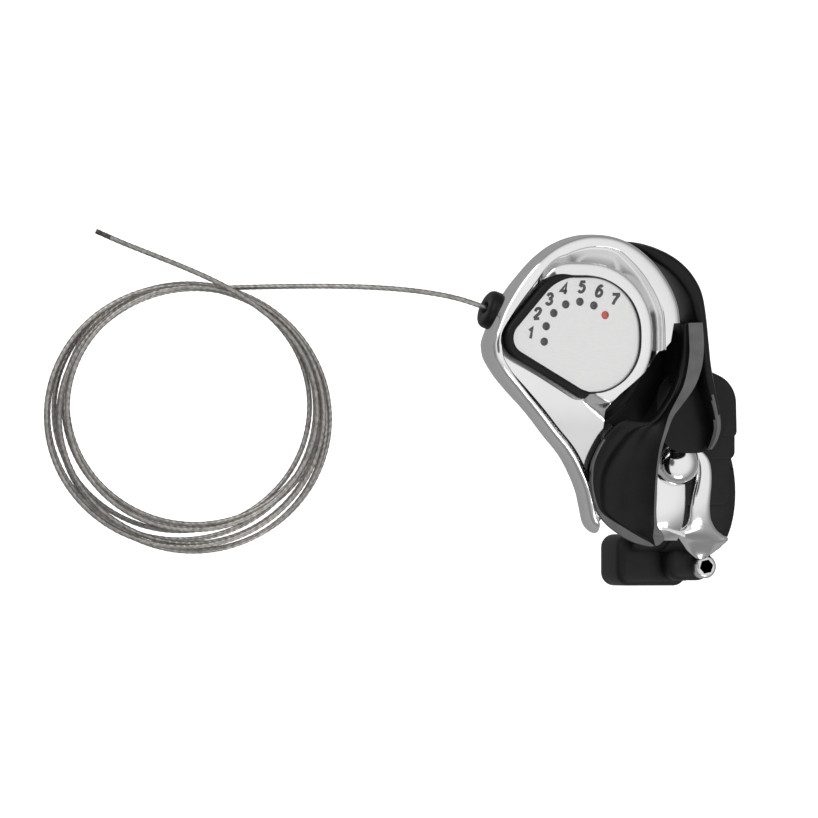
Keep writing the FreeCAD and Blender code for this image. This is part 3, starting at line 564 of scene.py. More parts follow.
def inside(point, region):
    """Even-odd test of a point against a closed polygon in plan."""
    result = False
    for a, b in zip(region, region[1:] + region[:1]):
        if (a.y > point.y) != (b.y > point.y):
            cross = a.x + (point.y - a.y) * (b.x - a.x) / (b.y - a.y)
            if point.x < cross:
                result = not result
    return result


def thicken(piece, thickness):
    """Give a sheet its wall, inward."""
    modifier = piece.modifiers.new("wall", "SOLIDIFY")
    modifier.thickness = thickness * MM
    modifier.offset = -1.0
    modifier.use_even_offset = False
    bpy.context.view_layer.update()
    mesh = bpy.data.meshes.new_from_object(piece.evaluated_get(
        bpy.context.evaluated_depsgraph_get()))
    piece.modifiers.clear()
    piece.data = mesh


def front_cover():
    """Plated shell, open on the lever's side, and a black strip along its tongue's groove that is painted shadow.
    """
    rings, shadow_strip = cover_rings()
    points, faces = loft(rings, cap=False)
    piece = add_mesh("cover_shell", points, faces, "chrome_shell", "shifter_body",
                     ("front_cover",), smooth=SHELL_SHARP)
    cut_away(piece, LEVER_CUT)
    thicken(piece, SHELL_WALL)
    piece.data.set_sharp_from_angle(angle=math.radians(SHELL_SHARP))
    # The black strip in the groove is painted shadow.
    points, faces = loft(shadow_strip)
    add_mesh("cover_painted_shadow", points, faces, "black_plastic", "shifter_body", smooth=30.0)


# ---------------------------------------------------------------- display

def bezel():
    """Black rim of the dial, broad on the inboard side and thin outboard."""
    outline = close_even(rounded(DIAL), DIAL_POINTS)
    normals = outward(outline)
    wide = []
    for n in normals:
        angle = math.degrees(math.atan2(n.y, n.x)) % 360.0
        rise = smoothstep(78.0, 122.0, angle)
        wide.append(rise * (1.0 - smoothstep(258.0, 276.0, angle)))

    def ring(narrow, broad, z):
        out = [lerp(narrow, broad, w) for w in wide]
        return [(p.x + n.x * d, p.y + n.y * d, z) for p, n, d in zip(outline, normals, out)]
    rings = [ring(0.14, 1.9, 32.6), ring(0.14, 1.8, 35.0), ring(0.13, 1.62, 36.2),
             ring(0.11, 1.4, 36.7), ring(0.08, 1.05, 36.95), ring(0.04, 0.5, 37.0),
             ring(-0.02, 0.1, 36.95), ring(-0.08, -0.2, 36.7), ring(-0.12, -0.4, 36.35),
             ring(-0.12, -0.45, 35.15), ring(0.05, 0.95, 35.1), ring(0.05, 0.95, 32.6)]
    points, faces = loft(rings + rings[:1], cap=False)
    add_mesh("dial_rim", points, faces, "black_plastic", "shifter_body", ("dial_bezel",),
             smooth=50.0)


# Strokes of each number in a box one unit high, and where its middle goes on the dial.
STROKES = {
    "1": [("line", (0.14, 0.74), (0.4, 0.97), (0.4, 0.0))],
    "2": [("curve", (0.05, 0.72), (0.16, 0.94), (0.38, 1.0), (0.58, 0.84), (0.5, 0.54),
           (0.26, 0.3), (0.06, 0.06)), ("line", (0.06, 0.05), (0.6, 0.05))],
    "3": [("curve", (0.06, 0.78), (0.2, 0.97), (0.44, 0.96), (0.54, 0.77), (0.42, 0.57),
           (0.24, 0.53)), ("curve", (0.24, 0.53), (0.48, 0.48), (0.58, 0.27), (0.46, 0.06),
                           (0.22, 0.02), (0.04, 0.2))],
    "4": [("line", (0.46, 0.0), (0.46, 0.96), (0.02, 0.3), (0.64, 0.3))],
    "5": [("line", (0.58, 0.95), (0.2, 0.95), (0.12, 0.52)),
          ("curve", (0.12, 0.52), (0.3, 0.63), (0.5, 0.57), (0.6, 0.33), (0.48, 0.08),
           (0.24, 0.01), (0.04, 0.16))],
    "6": [("curve", (0.08, 0.4), (0.22, 0.6), (0.46, 0.58), (0.6, 0.34), (0.5, 0.08),
           (0.3, 0.01), (0.12, 0.08), (0.05, 0.34), (0.12, 0.68), (0.26, 0.92), (0.42, 0.98),
           (0.56, 0.85))],
    "7": [("line", (-0.06, 0.95), (0.7, 0.95)),
          ("curve", (0.64, 0.9), (0.44, 0.64), (0.26, 0.32), (0.16, 0.0))]}
NUMBERS = {"1": (-11.8, 1.35), "2": (-10.15, 5.75), "3": (-7.15, 9.1), "4": (-3.55, 11.45),
           "5": (0.8, 11.9), "6": (5.1, 10.95), "7": (9.05, 9.1)}
NUMBER_HEIGHT, NUMBER_SLANT, STROKE_WIDTH, INK_HEIGHT = 2.45, 0.2, 0.7, 36.05


def stroke_ribbon(points, width, z):
    """Flat band along a line, with mitred turns."""
    left, right = [], []
    for i, p in enumerate(points):
        before = (p - points[i - 1]).normalized() if i else (points[1] - p).normalized()
        after = (points[i + 1] - p).normalized() if i + 1 < len(points) else before
        side = Vector((-(before + after).y, (before + after).x)).normalized()
        reach = width / 2 / max(0.55, side.dot(Vector((-before.y, before.x))))
        left.append((*(p + side * reach), z))
        right.append((*(p - side * reach), z))
    count = len(points)
    faces = [(i, i + 1, count + i + 1, count + i) for i in range(count - 1)]
    return left + right, faces


def dial_numbers():
    """Printed numbers, each a thin film on the dial face."""
    ribbons = []
    layer = 0
    for text, (x, y) in NUMBERS.items():
        for kind, *stroke in STROKES[text]:
            spots = []
            for u, v in stroke:
                lean = NUMBER_SLANT * (v - 0.5)
                spots.append(Vector((x + (u - 0.33 + lean) * NUMBER_HEIGHT,
                                     y + (v - 0.5) * NUMBER_HEIGHT)))
            if kind == "curve":
                spots = resample(spots, 36)
            layer += 1
            ribbons.append(stroke_ribbon(spots, STROKE_WIDTH, INK_HEIGHT + 0.002 * (layer % 3)))
    points, faces = merge(*ribbons)
    add_mesh("dial_numbers", points, faces, "number_ink", "shifter_body")


def dial_border():
    """Silver strip that closes the gap between the dial face and its rim."""
    outline = close_even(rounded(DIAL), DIAL_POINTS)
    normals = outward(outline)
    rings = [[(p.x + n.x * d, p.y + n.y * d, z) for p, n in zip(outline, normals)]
             for d, z in ((-0.02, 35.6), (-0.02, 36.02), (-1.3, 36.02), (-1.3, 35.6))]
    points, faces = loft(rings + rings[:1], cap=False)
    add_mesh("dial_border", points, faces, "dial_silver", "shifter_body")


# ------------------------------------------------- casing stop and cable

OUTLET_ANGLE, OUTLET_START, CABLE_HEIGHT = 159.5, 12.5, 26.5
STOP_PROFILE = [(4.3, 0.0), (4.4, 0.4), (4.45, 6.4), (4.38, 7.0), (4.15, 7.45), (3.75, 7.75),
                (3.2, 7.85), (1.7, 7.85), (1.5, 7.8), (1.35, 7.5), (0.95, 6.6), (0.85, 6.2),
                (0.85, 0.0)]
STRANDS, WIRE_RADIUS, LAY, STRAND_STEP = 6, 0.6, 9.0, 0.6
# Distance from the axis of the far one of the two points given with the cable's bodies.
FREE_FROM = 54.0
FUSED_RINGS = 6
COIL_RADIUS, COIL_LOOPS, COIL_PITCH, COIL_START, COIL_STEPS = 29.2, 8.94, 1.32, 86.0, 24
COIL_LEFT, COIL_DOWN, COIL_BASE = -88.4, -16.6, 35.5
TIP = (-109.5, 24.5, 11.0)


def on_outlet(distance):
    """Point on the cable's line at a distance from the mechanism's axis."""
    return Vector((*polar(distance, OUTLET_ANGLE), CABLE_HEIGHT))


def casing_stop():
    """Round black stop with a softly rounded end, on the cable's line."""
    steps = 64
    turn = Matrix.Rotation(math.radians(OUTLET_ANGLE), 4, "Z")
    rings = []
    for radius, along in STOP_PROFILE + STOP_PROFILE[:1]:
        ring = []
        for i in range(steps):
            side, up = polar(radius, 360.0 * i / steps)
            ring.append(tuple(turn @ Vector((12.6 + along, side, CABLE_HEIGHT + up))))
        rings.append(ring)
    points, faces = loft(rings, cap=False)
    add_mesh("cable_stop", points, faces, "black_plastic", "shifter_body", ("casing_stop",),
             smooth=50.0)



def coil_point(left, up, near):
    """Point given in the coil's own tipped plane."""
    x = left * math.cos(TILT) - near * math.sin(TILT)
    z = left * math.sin(TILT) + near * math.cos(TILT)
    return Vector((x, up, z + COIL_BASE))


def coil_loop_point(turn):
    """Point of the loose coil after a number of turns."""
    angle = math.radians(COIL_START + 360.0 * turn)
    radius = COIL_RADIUS + 1.5 * math.sin(1.9 * turn + 0.6) + 0.6 * math.sin(4.1 * turn)
    left = COIL_LEFT + 1.9 * math.sin(2.3 * turn + 1.0) + radius * 1.02 * math.cos(angle)
    up = COIL_DOWN - 1.3 * math.cos(1.7 * turn) + radius * 0.98 * math.sin(angle)
    return coil_point(left, up, COIL_PITCH * (turn - COIL_LOOPS / 2) + 4.0)


def cubic(start, start_pull, end, end_pull, count):
    """Points inside a Bezier curve, given the pulls at its two ends."""
    first, last = start + start_pull, end - end_pull
    result = []
    for i in range(1, count):
        t = i / count
        u = 1 - t
        result.append(start * u ** 3 + first * (3 * u * u * t) + last * (3 * u * t * t)
                      + end * t ** 3)
    return result


def cable_path():
    """Points from the stop along the straight run, round the coil and out to the free end."""
    start = on_outlet(OUTLET_START + 0.3)
    out = Vector((*polar(1.0, OUTLET_ANGLE), 0.0))
    straight = [start + out * (8.6 * i / 4) for i in range(5)]
    coil = [coil_loop_point(i / COIL_STEPS) for i in range(int(COIL_LOOPS * COIL_STEPS) + 1)]
    into = (coil[1] - coil[0]).normalized()
    leave = (coil[-1] - coil[-2]).normalized()
    tip = coil_point(*TIP)
    lead_in = cubic(straight[-1], out * 15.0, coil[0], into * 27.0, 8)
    tail = cubic(coil[-1], leave * 12.0, tip, (tip - coil[-1]) * 0.3, 6)
    return straight + lead_in + coil + tail + [tip]


def stranded(path, step, strands, radius, lay):
    """Wire rope: a lobed section that turns as it runs along the path."""
    length = sum((b - a).length for a, b in zip(path, path[1:]))
    points = resample(path, int(length / step), dense=10)
    side = (points[1] - points[0]).orthogonal().normalized()
    rings = []
    around = strands * 4
    for i, p in enumerate(points):
        ahead = points[min(i + 1, len(points) - 1)] - points[max(i - 1, 0)]
        ahead.normalize()
        side = (side - ahead * side.dot(ahead)).normalized()
        other = ahead.cross(side)
        twist = 2 * math.pi * step * i / lay
        ring = []
        for k in range(around):
            angle = 2 * math.pi * k / around
            lobe = 0.5 + 0.5 * math.cos(strands * angle)
            reach = radius * (0.9 + 0.1 * lobe)
            ring.append(tuple(p + side * (reach * math.cos(angle + twist))
                              + other * (reach * math.sin(angle + twist))))
        rings.append(ring)
    return rings


def cable():
    """Stranded inner cable from the stop round the coil, with a fused free end."""
    rings = stranded(cable_path(), STRAND_STEP, STRANDS, WIRE_RADIUS, LAY)
    points, faces = loft(rings[:-FUSED_RINGS])
    held = (AXIS + on_outlet(OUTLET_START)) * MM
    free = (AXIS + on_outlet(FREE_FROM)) * MM
    add_mesh("stranded_cable", points, faces, "cable_steel",
             ("shifter_body", "cable", held, free), ("inner_cable",), smooth=60.0)
    points, faces = loft(rings[-FUSED_RINGS - 1:])
    add_mesh("cable_tip", points, faces, "fused_wire_end", "cable",
             smooth=60.0)


# ----------------------------------------------------------- thumb paddle

# Rows from the root to the tip. Each has the left edge, the start of the
# scoop, the start of the flat land, the land's right edge, and the depth.
LEAF = [
    ((26.7, 3.2, 33.7), (27.1, 3.3, 34.0), (27.6, 3.7, 34.6), (31.1, 3.8, 34.6), 0.1),
    ((26.8, 0.2, 33.6), (27.2, 0.2, 33.9), (27.7, 0.2, 34.8), (31.3, 0.2, 34.8), 0.15),
    ((26.6, -3.1, 33.5), (27.0, -3.1, 33.9), (27.7, -3.1, 35.0), (31.2, -3.1, 35.0), 0.2),
    ((25.9, -7.0, 33.4), (26.4, -7.0, 33.9), (27.2, -6.9, 35.0), (30.6, -6.9, 35.0), 0.3),
    ((24.7, -10.4, 33.2), (25.2, -10.6, 33.9), (26.2, -10.6, 35.0), (28.9, -11.0, 35.0), 0.5),
    ((22.5, -14.5, 32.9), (23.1, -14.8, 33.7), (24.4, -14.1, 34.9), (26.0, -14.9, 34.9), 0.8),
    ((19.0, -18.5, 32.6), (20.0, -18.7, 33.2), (22.8, -17.2, 34.7), (23.9, -17.6, 34.7), 1.3),
    ((12.6, -18.6, 32.2), (15.2, -20.3, 32.6), (21.7, -21.0, 34.4), (22.5, -21.2, 34.4), 2.0),
    ((8.7, -22.2, 31.0), (11.9, -23.7, 31.6), (20.8, -24.5, 34.0), (21.5, -24.6, 34.0), 2.5),
    ((6.6, -27.4, 29.0), (9.4, -28.0, 29.9), (20.4, -28.2, 33.4), (20.9, -28.2, 33.4), 2.7),
    ((6.4, -31.8, 28.0), (8.4, -32.0, 28.7), (20.3, -32.2, 32.6), (20.8, -32.2, 32.6), 2.7),
    ((7.1, -35.5, 27.3), (8.7, -35.4, 27.8), (20.4, -35.9, 31.8), (21.0, -35.9, 31.8), 2.4),
    ((8.5, -39.2, 26.8), (9.5, -38.9, 27.2), (20.6, -39.6, 31.0), (21.2, -39.6, 31.0), 1.9),
    ((10.9, -42.1, 26.5), (12.2, -41.1, 26.8), (20.9, -42.3, 30.4), (21.8, -42.5, 30.4), 1.3),
    ((14.1, -44.5, 26.6), (15.5, -43.1, 26.9), (20.9, -44.2, 29.9), (23.2, -44.2, 29.9), 0.8),
    ((17.4, -46.3, 27.0), (18.6, -44.9, 27.2), (21.2, -45.1, 29.0), (23.9, -45.5, 29.2), 0.4),
    ((20.3, -47.1, 27.6), (20.7, -46.1, 27.7), (21.7, -46.2, 28.6), (23.2, -46.6, 28.6), 0.1),
    ((21.6, -47.3, 28.0), (21.8, -46.9, 28.0), (22.0, -46.9, 28.2), (22.4, -47.1, 28.2), 0.0)]
SCOOP_STEPS = 12
ROW_STEPS = 8
LEAF_THICKNESS = 1.7
# Past this row the leaf's left edge gets the painted sheen, a paler black standing in for a highlight.
SHEEN_EDGE_ROW = 8
LEVER_FLOOR = 20.95
ROOT = [(26.9, 3.2), (31.0, 3.4), (31.2, -1.0), (30.9, -8.5), (27.9, -10.8), (25.9, -9.8),
        (26.5, -5.0), (26.9, 0.0)]


def leaf_rows():
    """Rows of points across the leaf: rolled left edge, scoop, flat land."""
    rows = []
    count = ROW_STEPS * (len(LEAF) - 1) + 1
    for i in range(count):
        position = i / ROW_STEPS
        left, start, land, right = (spline_point([row[k] for row in LEAF], position, False)
                                    for k in range(4))
        depth = spline_point([(row[4], 0.0) for row in LEAF], position, False)[0]
        span = (start - left).length
        share = lerp(min(0.3, 0.35 / span), 0.92, smoothstep(11.0, 13.6, position))
        lift = Vector((0, 0, 0.16 * span))
        row = [left, left.lerp(start, share) + lift * 0.3,
               left.lerp(start, lerp(share, 1.0, 0.35)) + lift * 0.8,
               left.lerp(start, lerp(share, 1.0, 0.7)) + lift * 0.7, start]
        for k in range(1, SCOOP_STEPS):
            t = k / SCOOP_STEPS
            spot = start.lerp(land, t)
            spot.z -= depth * math.sin(math.pi * t ** 0.85) ** 0.8
            row.append(spot)
        row += [land, land.lerp(right, 0.12), land.lerp(right, 0.9), right]
        rows.append(row)
    return rows


def shell(rows, thickness):
    """Closed body between a grid of points and the same grid moved down."""
    rings = []
    for row in rows:
        below = [p + Vector((0.12 * thickness, 0, -thickness)) for p in reversed(row)]
        rings.append([tuple(p) for p in row + below])
    return loft(rings)


def ring_sector(profile, start, end, steps=40):
    """Sweep of a closed (radius, z) profile between two angles."""
    rings = []
    for i in range(steps + 1):
        angle = lerp(start, end, i / steps)
        rings.append([(*polar(radius, angle), z) for radius, z in profile])
    return loft(rings)


def thumb_paddle():
    """Scooped leaf on its root, with a skirt and a web that close it under the cover; the flat land and the left
    edge near the tip carry a painted sheen.
    """
    rows = leaf_rows()
    leaf = shell(rows, LEAF_THICKNESS)
    width = len(rows[0])
    # Faces on the flat land, and on the left edge towards the tip, get a paler black: painted sheen where light
    # falls on them.
    painted_sheen_faces = [2 * width * k + i for k in range(len(rows) - 1)
            for i in (0, width - 4, width - 3, width - 2)
            if i or k > SHEEN_EDGE_ROW * ROW_STEPS]
    root_outline = close_even([Vector(p) for p in ROOT], 60)
    root = slab(list(reversed(root_outline)), [(0.3, LEVER_FLOOR), (0.0, 21.3), (0.0, 32.2)])
    skirt = ring_sector([(17.2, LEVER_FLOOR), (17.2, 27.2), (17.5, 27.9), (18.1, 28.3),
                         (18.8, 28.1), (19.4, 27.3), (20.0, 26.9), (20.7, 26.9), (21.4, 26.6),
                         (21.75, 25.9), (21.75, LEVER_FLOOR)], -64, -12)
    web = ring_sector([(18.4, LEVER_FLOOR), (18.4, 21.3), (28.4, 21.3), (28.4, LEVER_FLOOR)],
                      -54, 5)
    points, faces = merge(leaf, root, skirt, web)
    # The second material is the painted sheen on those faces.
    add_mesh("thumb_lever", points, faces, "black_plastic", "lever", ("thumb_paddle",),
             smooth=42.0, accent=("black_painted_sheen", painted_sheen_faces))


# ---------------------------------------------------------- finger paddle

# Outer edge, width, bottom and top heights of the wing, root to tip.
WING = [((14.8, 22.3), 1.0, 27.0, 29.4), ((18.2, 21.9), 2.2, 25.0, 30.6),
        ((22.2, 20.6), 3.2, 23.0, 31.6), ((26.0, 18.6), 3.6, 21.5, 32.2),
        ((29.0, 16.0), 3.8, 20.6, 32.6), ((31.3, 12.8), 3.7, 20.4, 32.8),
        ((32.6, 9.6), 3.5, 20.3, 32.8), ((33.4, 5.0), 3.2, 20.3, 32.8),
        ((34.0, -0.5), 3.0, 20.3, 32.8), ((34.6, -6.0), 2.9, 20.6, 32.8),
        ((35.6, -11.0), 2.7, 21.4, 32.8), ((36.7, -16.0), 2.4, 22.6, 32.7),
        ((37.2, -20.0), 2.1, 24.2, 32.4), ((36.6, -23.2), 1.8, 26.0, 31.6),
        ((35.4, -25.4), 1.2, 28.2, 30.6)]
WING_STEPS = 4
# The painted sheen stripe on the wing's top, a paler black standing in for light on its crown, starts at these y,
# one for each face across it.
WING_SHEEN_FROM = (-16.0, -11.5, -13.0, -18.0)


def finger_paddle():
    """Outer wing, its bridge under the tip, and a foot on the lever plate, with a painted sheen stripe along the
    wing's crown.
    """
    count = WING_STEPS * (len(WING) - 1) + 1
    centre, extra = ([spline_point(column, i / WING_STEPS, False) for i in range(count)]
                     for column in ([row[0] for row in WING], [row[1:] for row in WING]))
    rings = []
    for i, (p, (width, low, high)) in enumerate(zip(centre, extra)):
        along = centre[min(i + 1, count - 1)] - centre[max(i - 1, 0)]
        inward = Vector((along.y, -along.x)).normalized()
        middle = (low + high) / 2
        dish = smoothstep(-8.0, -20.0, p.y) if p.y < -8.0 else 0.0
        section = [(0.0, middle), (0.02, high - 2.0), (0.2, high - 1.1), (0.55, high - 0.5),
                   (width * 0.3, high - 0.16), (width * 0.5, high), (width * 0.7, high - 0.16),
                   (width - 0.5, high - 0.5), (width - 0.18, high - 1.1),
                   (width - dish * 0.4, high - 1.8), (width - dish, middle),
                   (width - dish * 0.4, low + 1.2), (width - 0.3, low + 0.4),
                   (width * 0.5, low), (0.3, low + 0.4), (0.05, low + 1.4)]
        rings.append([(p.x + inward.x * d, p.y + inward.y * d, z) for d, z in section])
    wing = loft(rings)
    around = len(rings[0])
    # The top faces of the wing's crown get a paler black: painted sheen where light falls on it.
    painted_sheen_faces = [around * k + i for k in range(count - 1) for i in (4, 5, 6, 7)
            if centre[k].y < WING_SHEEN_FROM[i - 4]]
    bridge_outline = [Vector(p) for p in rounded([(36.6, -11.4, 2.4), (27.2, -11.4, 2.0),
                                                  (27.2, -21.8, 3.0), (36.2, -21.8, 4.0)])]
    bridge = slab(list(reversed(close_even(bridge_outline, 60))),
                  soft_levels(22.0, 27.0, 0.6, 4.2, 12))
    foot = ring_sector([(30.6, LEVER_FLOOR), (30.6, 26.0), (34.4, 26.0), (34.4, 20.3),
                        (33.3, 20.3), (33.3, LEVER_FLOOR)], -12, 3, 12)
    points, faces = merge(wing, bridge, foot)
    # The second material is the painted sheen on the crown.
    add_mesh("finger_wing", points, faces, "black_plastic", "lever", ("finger_paddle",),
             smooth=40.0, accent=("black_painted_sheen", painted_sheen_faces))


# ------------------------------------------------------------------ clamp
# Clamp pieces are drawn from the handlebar's centre.
BAND_BORE, BAND_OUTER = 11.1, 13.7
SCREW = (2.6, -17.0)


def around_bar(x_low, x_high, inner, outer, start, end, soften=0.6, steps=60):
    """Band round the handlebar between two angles in the YZ plane."""
    section = [(x_low, inner), (x_low, outer - soften),
               (x_low + soften * 0.4, outer - soften * 0.3),
               (x_low + soften, outer), (x_high - soften, outer),
               (x_high - soften * 0.4, outer - soften * 0.3), (x_high, outer - soften),
               (x_high, inner)]
    rings = []
    for i in range(steps + 1):
        turn = math.radians(lerp(start, end, i / steps))
        rings.append([(x, r * math.cos(turn), r * math.sin(turn)) for x, r in section])
    return loft(rings)


def soft_box(low, high, radius, levels):
    """Box with rounded upright corners, drawn at the given levels."""
    (x0, y0), (x1, y1) = low, high
    corners = [(x1, y1, radius), (x0, y1, radius), (x0, y0, radius), (x1, y0, radius)]
    outline = rounded(corners, 8)
    return slab(outline, levels)


def clamp_bracket():
    """Band round the bar, its bolt box and lug, and the arm and pad under the mechanism."""
    band = around_bar(-7.0, 7.0, BAND_BORE, BAND_OUTER, -170.0, 177.0)
    inner_band = around_bar(-13.4, -6.9, 11.9, 13.5, 10.0, 177.0)
    saddle = soft_box((-12.0, -3.0), (5.4, 9.0), 2.0, soft_levels(12.0, 14.3, 0.2, 0.6))
    strut = soft_box((-12.0, 7.4), (6.4, 17.0), 2.0, soft_levels(9.4, 14.6, 1.2, 0.6))
    box = soft_box((-15.9, -21.4), (1.4, -9.6), 3.0, soft_levels(-14.0, -1.3, 2.4, 2.2, 8))
    lug = soft_box((-5.6, -20.2), (5.6, -11.2), 3.4, soft_levels(-10.7, 3.4, 0.6, 2.2, 8))
    pad = lathe([(0.0, 11.8), (12.2, 11.8), (12.4, 12.2), (12.4, 14.9), (0.0, 14.9)],
                centre=(AXIS.x, AXIS.y))
    arm_outline = rounded([(6.9, 12.5, 1.6), (6.6, 25.0, 7.0), (-30.0, 41.0, 4.0),
                           (-40.0, 24.0, 4.0), (-20.0, 8.0, 3.0), (-8.0, 12.5, 3.0)])
    arm = slab(arm_outline, soft_levels(11.7, 14.95, 0.6, 0.9))
    hump = around_bar(0.9, 6.95, 12.0, 14.4, 20.0, 66.0, 1.4)
    points, faces = merge(band, inner_band, saddle, strut, box, lug, pad, arm, hump)
    add_mesh("bar_bracket", points, faces, "black_casting", "shifter_body", ("clamp_bracket",),
             smooth=45.0, on_axis=False)


# Rows of the blade from the boss to its end: y, z, left edge, right edge.
BLADE = [(11.2, 15.0, -6.6, -4.0), (9.6, 15.8, -5.2, -2.0), (7.6, 16.1, -4.0, -0.4),
         (5.0, 16.2, -3.6, 0.2), (2.0, 16.1, -3.9, 0.3), (-1.2, 15.7, -4.5, 0.2),
         (-4.0, 14.9, -4.7, 0.4), (-6.4, 13.8, -4.6, 1.1), (-8.0, 12.8, -4.9, 2.2),
         (-9.4, 11.8, -6.6, 3.6), (-10.6, 10.7, -6.4, 5.4), (-11.5, 9.8, -5.4, 6.9),
         (-12.7, 8.7, -4.0, 5.8), (-13.9, 7.7, -2.6, 4.6), (-15.2, 6.9, -0.4, 2.6)]
BLADE_STEPS = 6
BLADE_THICKNESS = 1.5
# Crown of the blade: share of its width, drop below its middle.
BLADE_CROWN = [(0.0, 1.0), (0.04, 0.5), (0.14, 0.16), (0.32, 0.03), (0.5, 0.0),
               (0.68, 0.03), (0.86, 0.16), (0.96, 0.5), (1.0, 1.0)]


def blade_rows():
    """Sections of the blade, crowned on top and square to its run."""
    rows = []
    count = BLADE_STEPS * (len(BLADE) - 1) + 1
    spots = [spline_point([Vector(row) for row in BLADE], i / BLADE_STEPS, False)
             for i in range(count)]
    for i, (y, z, left, right) in enumerate(spots):
        ahead, back = spots[min(i + 1, count - 1)], spots[max(i - 1, 0)]
        along = Vector((ahead[0] - back[0], ahead[1] - back[1])).normalized()
        up = Vector((along.y, -along.x))
        crown = [(lerp(left, right, share), drop) for share, drop in BLADE_CROWN]
        under = [(right, BLADE_THICKNESS), (left, BLADE_THICKNESS)]
        rows.append([(x, y - up.x * drop, z - up.y * drop) for x, drop in crown + under])
    return rows


def clamp_cover():
    """Bright cap: a round boss, a wall that follows the bar, and a narrow blade with a foot."""
    boss = lathe([(5.6, 13.0), (5.55, 14.4), (5.35, 15.6), (4.95, 16.7), (4.3, 17.6),
                  (3.4, 18.3), (2.2, 18.8), (1.0, 19.02), (0.0, 19.05)], centre=(-8.4, 6.9))
    wall = around_bar(-14.2, -5.9, 13.6, 15.0, 50.0, 137.0, 0.5)
    strap = loft([[(x, y, z), (x, y - 0.5, z + 0.25), (x, y - 1.1, z), (x, y - 1.1, z - 0.7),
                   (x, y, z - 0.7)] for x, y, z in
                  [(-11.0, -7.3, 12.6), (-9.0, -7.8, 12.4), (-7.2, -8.4, 12.2),
                   (-5.0, -9.2, 11.9)]])
    points, faces = merge(boss, wall, loft(blade_rows()), strap)
    add_mesh("bright_clamp_cap", points, faces, "chrome_shell", "shifter_body", ("clamp_cover",),
             smooth=45.0, on_axis=False)


def clamp_screw():
    """Socket-head screw that closes the clamp."""
    head = lathe([(0.0, 2.0), (2.6, 2.0), (2.7, 2.3), (2.7, 5.6), (2.5, 6.1), (2.1, 6.4),
                  (1.7, 6.45)], 48, SCREW)
    shank = lathe([(2.0, -13.9), (2.0, 2.0), (0.0, 2.0)], 48, SCREW)
    hexes = []
    for size, z in ((1.7, 6.45), (1.4, 6.2), (1.25, 5.2)):
        corners = [polar(size, 60 * i + 12) for i in range(6)]
        hexes.append([(SCREW[0] + x, SCREW[1] + y, z) for x, y in corners])
    points, faces = merge(head, shank, loft(hexes))
    add_mesh("clamp_screw", points, faces, "bright_steel", "shifter_body", ("clamp_bolt",),
             on_axis=False)


# ------------------------------------------------------ camera and studio

SENSOR = 36.0
# Centre of the view from the mechanism's axis: to the right, up, and above the bar.
VIEW_RIGHT, VIEW_UP, VIEW_ABOVE = -38.6, -15.9, 36.0
# Greys of the surroundings from straight down (0) to straight up (1).
SKY = [(0.47, 0.3), (0.54, 0.26), (0.63, 0.34), (0.73, 0.55), (0.81, 0.82), (0.89, 0.97)]
BACKDROP = 0.97


def camera():
    away = Vector((-math.sin(TILT), 0.0, math.cos(TILT)))
    right = Vector((math.cos(TILT), 0.0, math.sin(TILT)))
    up = Vector((0.0, 1.0, 0.0))
    centre = AXIS + Vector((0, 0, VIEW_ABOVE)) + right * VIEW_RIGHT + up * VIEW_UP
    data = bpy.data.cameras.new("camera")
    data.sensor_width = SENSOR
    data.lens = SENSOR * CAMERA_DISTANCE / VIEW_WIDTH
    data.clip_end = 10.0
    cam = bpy.data.objects.new("camera", data)
    cam.matrix_world = Matrix.Translation((centre + away * CAMERA_DISTANCE) * MM) @ Matrix(
        ((right.x, up.x, away.x, 0), (right.y, up.y, away.y, 0), (right.z, up.z, away.z, 0),
         (0, 0, 0, 1)))
    bpy.context.collection.objects.link(cam)
    bpy.context.scene.camera = cam


def seen_or_reflected(tree, seen, reflected):
    """One value for the camera and another for reflections and soft light."""
    path = tree.nodes.new("ShaderNodeLightPath")
    mix = tree.nodes.new("ShaderNodeMix")
    mix.data_type = "RGBA"
    tree.links.new(path.outputs["Is Camera Ray"], mix.inputs["Factor"])
    mix.inputs["B"].default_value = (seen, seen, seen, 1)
    if hasattr(reflected, "links"):
        tree.links.new(reflected, mix.inputs["A"])
    else:
        mix.inputs["A"].default_value = (reflected, reflected, reflected, 1)
    return mix.outputs["Result"]


def floor():
    """Plain white sheet, well below the part so that its shadow is soft."""
    bpy.ops.mesh.primitive_plane_add(size=12.0, location=(0, 0, -0.075))
    plane = bpy.context.object
    plane.name = "floor"
    material = surface("floor", (0.9, 0.9, 0.9), (0.92, 0.92, 0.92), 0.0, 0.6, 0.7, 4.0,
                       specular=0.0)
    tree = material.node_tree
    shader = tree.nodes["Principled BSDF"]
    tree.links.new(seen_or_reflected(tree, BACKDROP, 0.42), shader.inputs["Base Color"])
    tree.links.new(seen_or_reflected(tree, 1.0, 0.0), shader.inputs["Emission Color"])
    shader.inputs["Emission Strength"].default_value = 0.45
    plane.data.materials.append(material)


def light(name, location, size, power, target=(-0.03, 0.02, 0.02)):
    """Soft rectangular lamp aimed at the part; places and sizes in metres."""
    data = bpy.data.lights.new(name, "AREA")
    data.shape = "RECTANGLE"
    data.size, data.size_y = size
    data.energy = power
    lamp = bpy.data.objects.new(name, data)
    lamp.location = location
    lamp.visible_camera = False
    aim = Vector(target) - Vector(location)
    lamp.rotation_euler = aim.to_track_quat("-Z", "Y").to_euler()
    bpy.context.collection.objects.link(lamp)


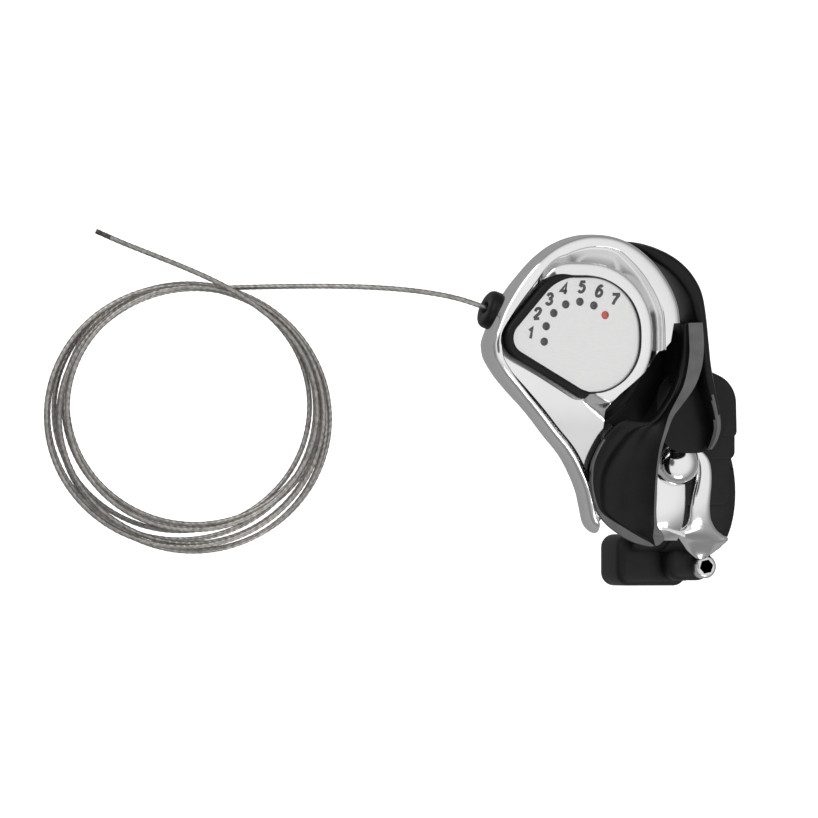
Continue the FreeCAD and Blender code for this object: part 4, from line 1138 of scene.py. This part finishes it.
def studio():
    """Pale tent: bright overhead, greyer at the horizon, with a dark opening at the camera."""
    world = bpy.data.worlds.new("studio")
    bpy.context.scene.world = world
    world.use_nodes = True
    tree = world.node_tree
    coords = tree.nodes.new("ShaderNodeTexCoord")
    split = tree.nodes.new("ShaderNodeSeparateXYZ")
    height = tree.nodes.new("ShaderNodeMapRange")
    height.inputs["From Min"].default_value = -1.0
    ramp = tree.nodes.new("ShaderNodeValToRGB")
    ramp.color_ramp.elements[0].color = (0.4, 0.4, 0.4, 1)
    ramp.color_ramp.elements[1].color = (1, 1, 1, 1)
    for position, value in SKY:
        stop = ramp.color_ramp.elements.new(position)
        stop.color = (value, value, value, 1)
    tree.links.new(coords.outputs["Generated"], split.inputs["Vector"])
    tree.links.new(split.outputs["Z"], height.inputs["Value"])
    tree.links.new(height.outputs["Result"], ramp.inputs["Fac"])
    facing = tree.nodes.new("ShaderNodeVectorMath")
    facing.operation = "DOT_PRODUCT"
    facing.inputs[1].default_value = (-math.sin(TILT), 0.0, math.cos(TILT))
    tree.links.new(coords.outputs["Generated"], facing.inputs[0])
    opening = tree.nodes.new("ShaderNodeMapRange")
    opening.interpolation_type = "SMOOTHSTEP"
    opening.inputs["From Min"].default_value = math.cos(math.radians(17.0))
    opening.inputs["From Max"].default_value = math.cos(math.radians(9.0))
    opening.inputs["To Min"].default_value = 1.0
    opening.inputs["To Max"].default_value = 0.12
    tree.links.new(facing.outputs["Value"], opening.inputs["Value"])
    shade = tree.nodes.new("ShaderNodeVectorMath")
    shade.operation = "SCALE"
    tree.links.new(ramp.outputs["Color"], shade.inputs[0])
    tree.links.new(opening.outputs["Result"], shade.inputs["Scale"])
    tree.links.new(seen_or_reflected(tree, BACKDROP, shade.outputs["Vector"]),
                   tree.nodes["Background"].inputs["Color"])
    light("key", (-0.85, 0.75, 0.55), (0.8, 0.8), 3.5)
    light("edge", (0.15, -0.9, 0.5), (0.5, 0.2), 1.6)
    bpy.context.scene.view_settings.view_transform = "Standard"


finish_cad_nodes()
front_cover()
bezel()
dial_border()
dial_numbers()
casing_stop()
cable()
thumb_paddle()
finger_paddle()
clamp_bracket()
clamp_cover()
clamp_screw()
camera()
floor()
studio()
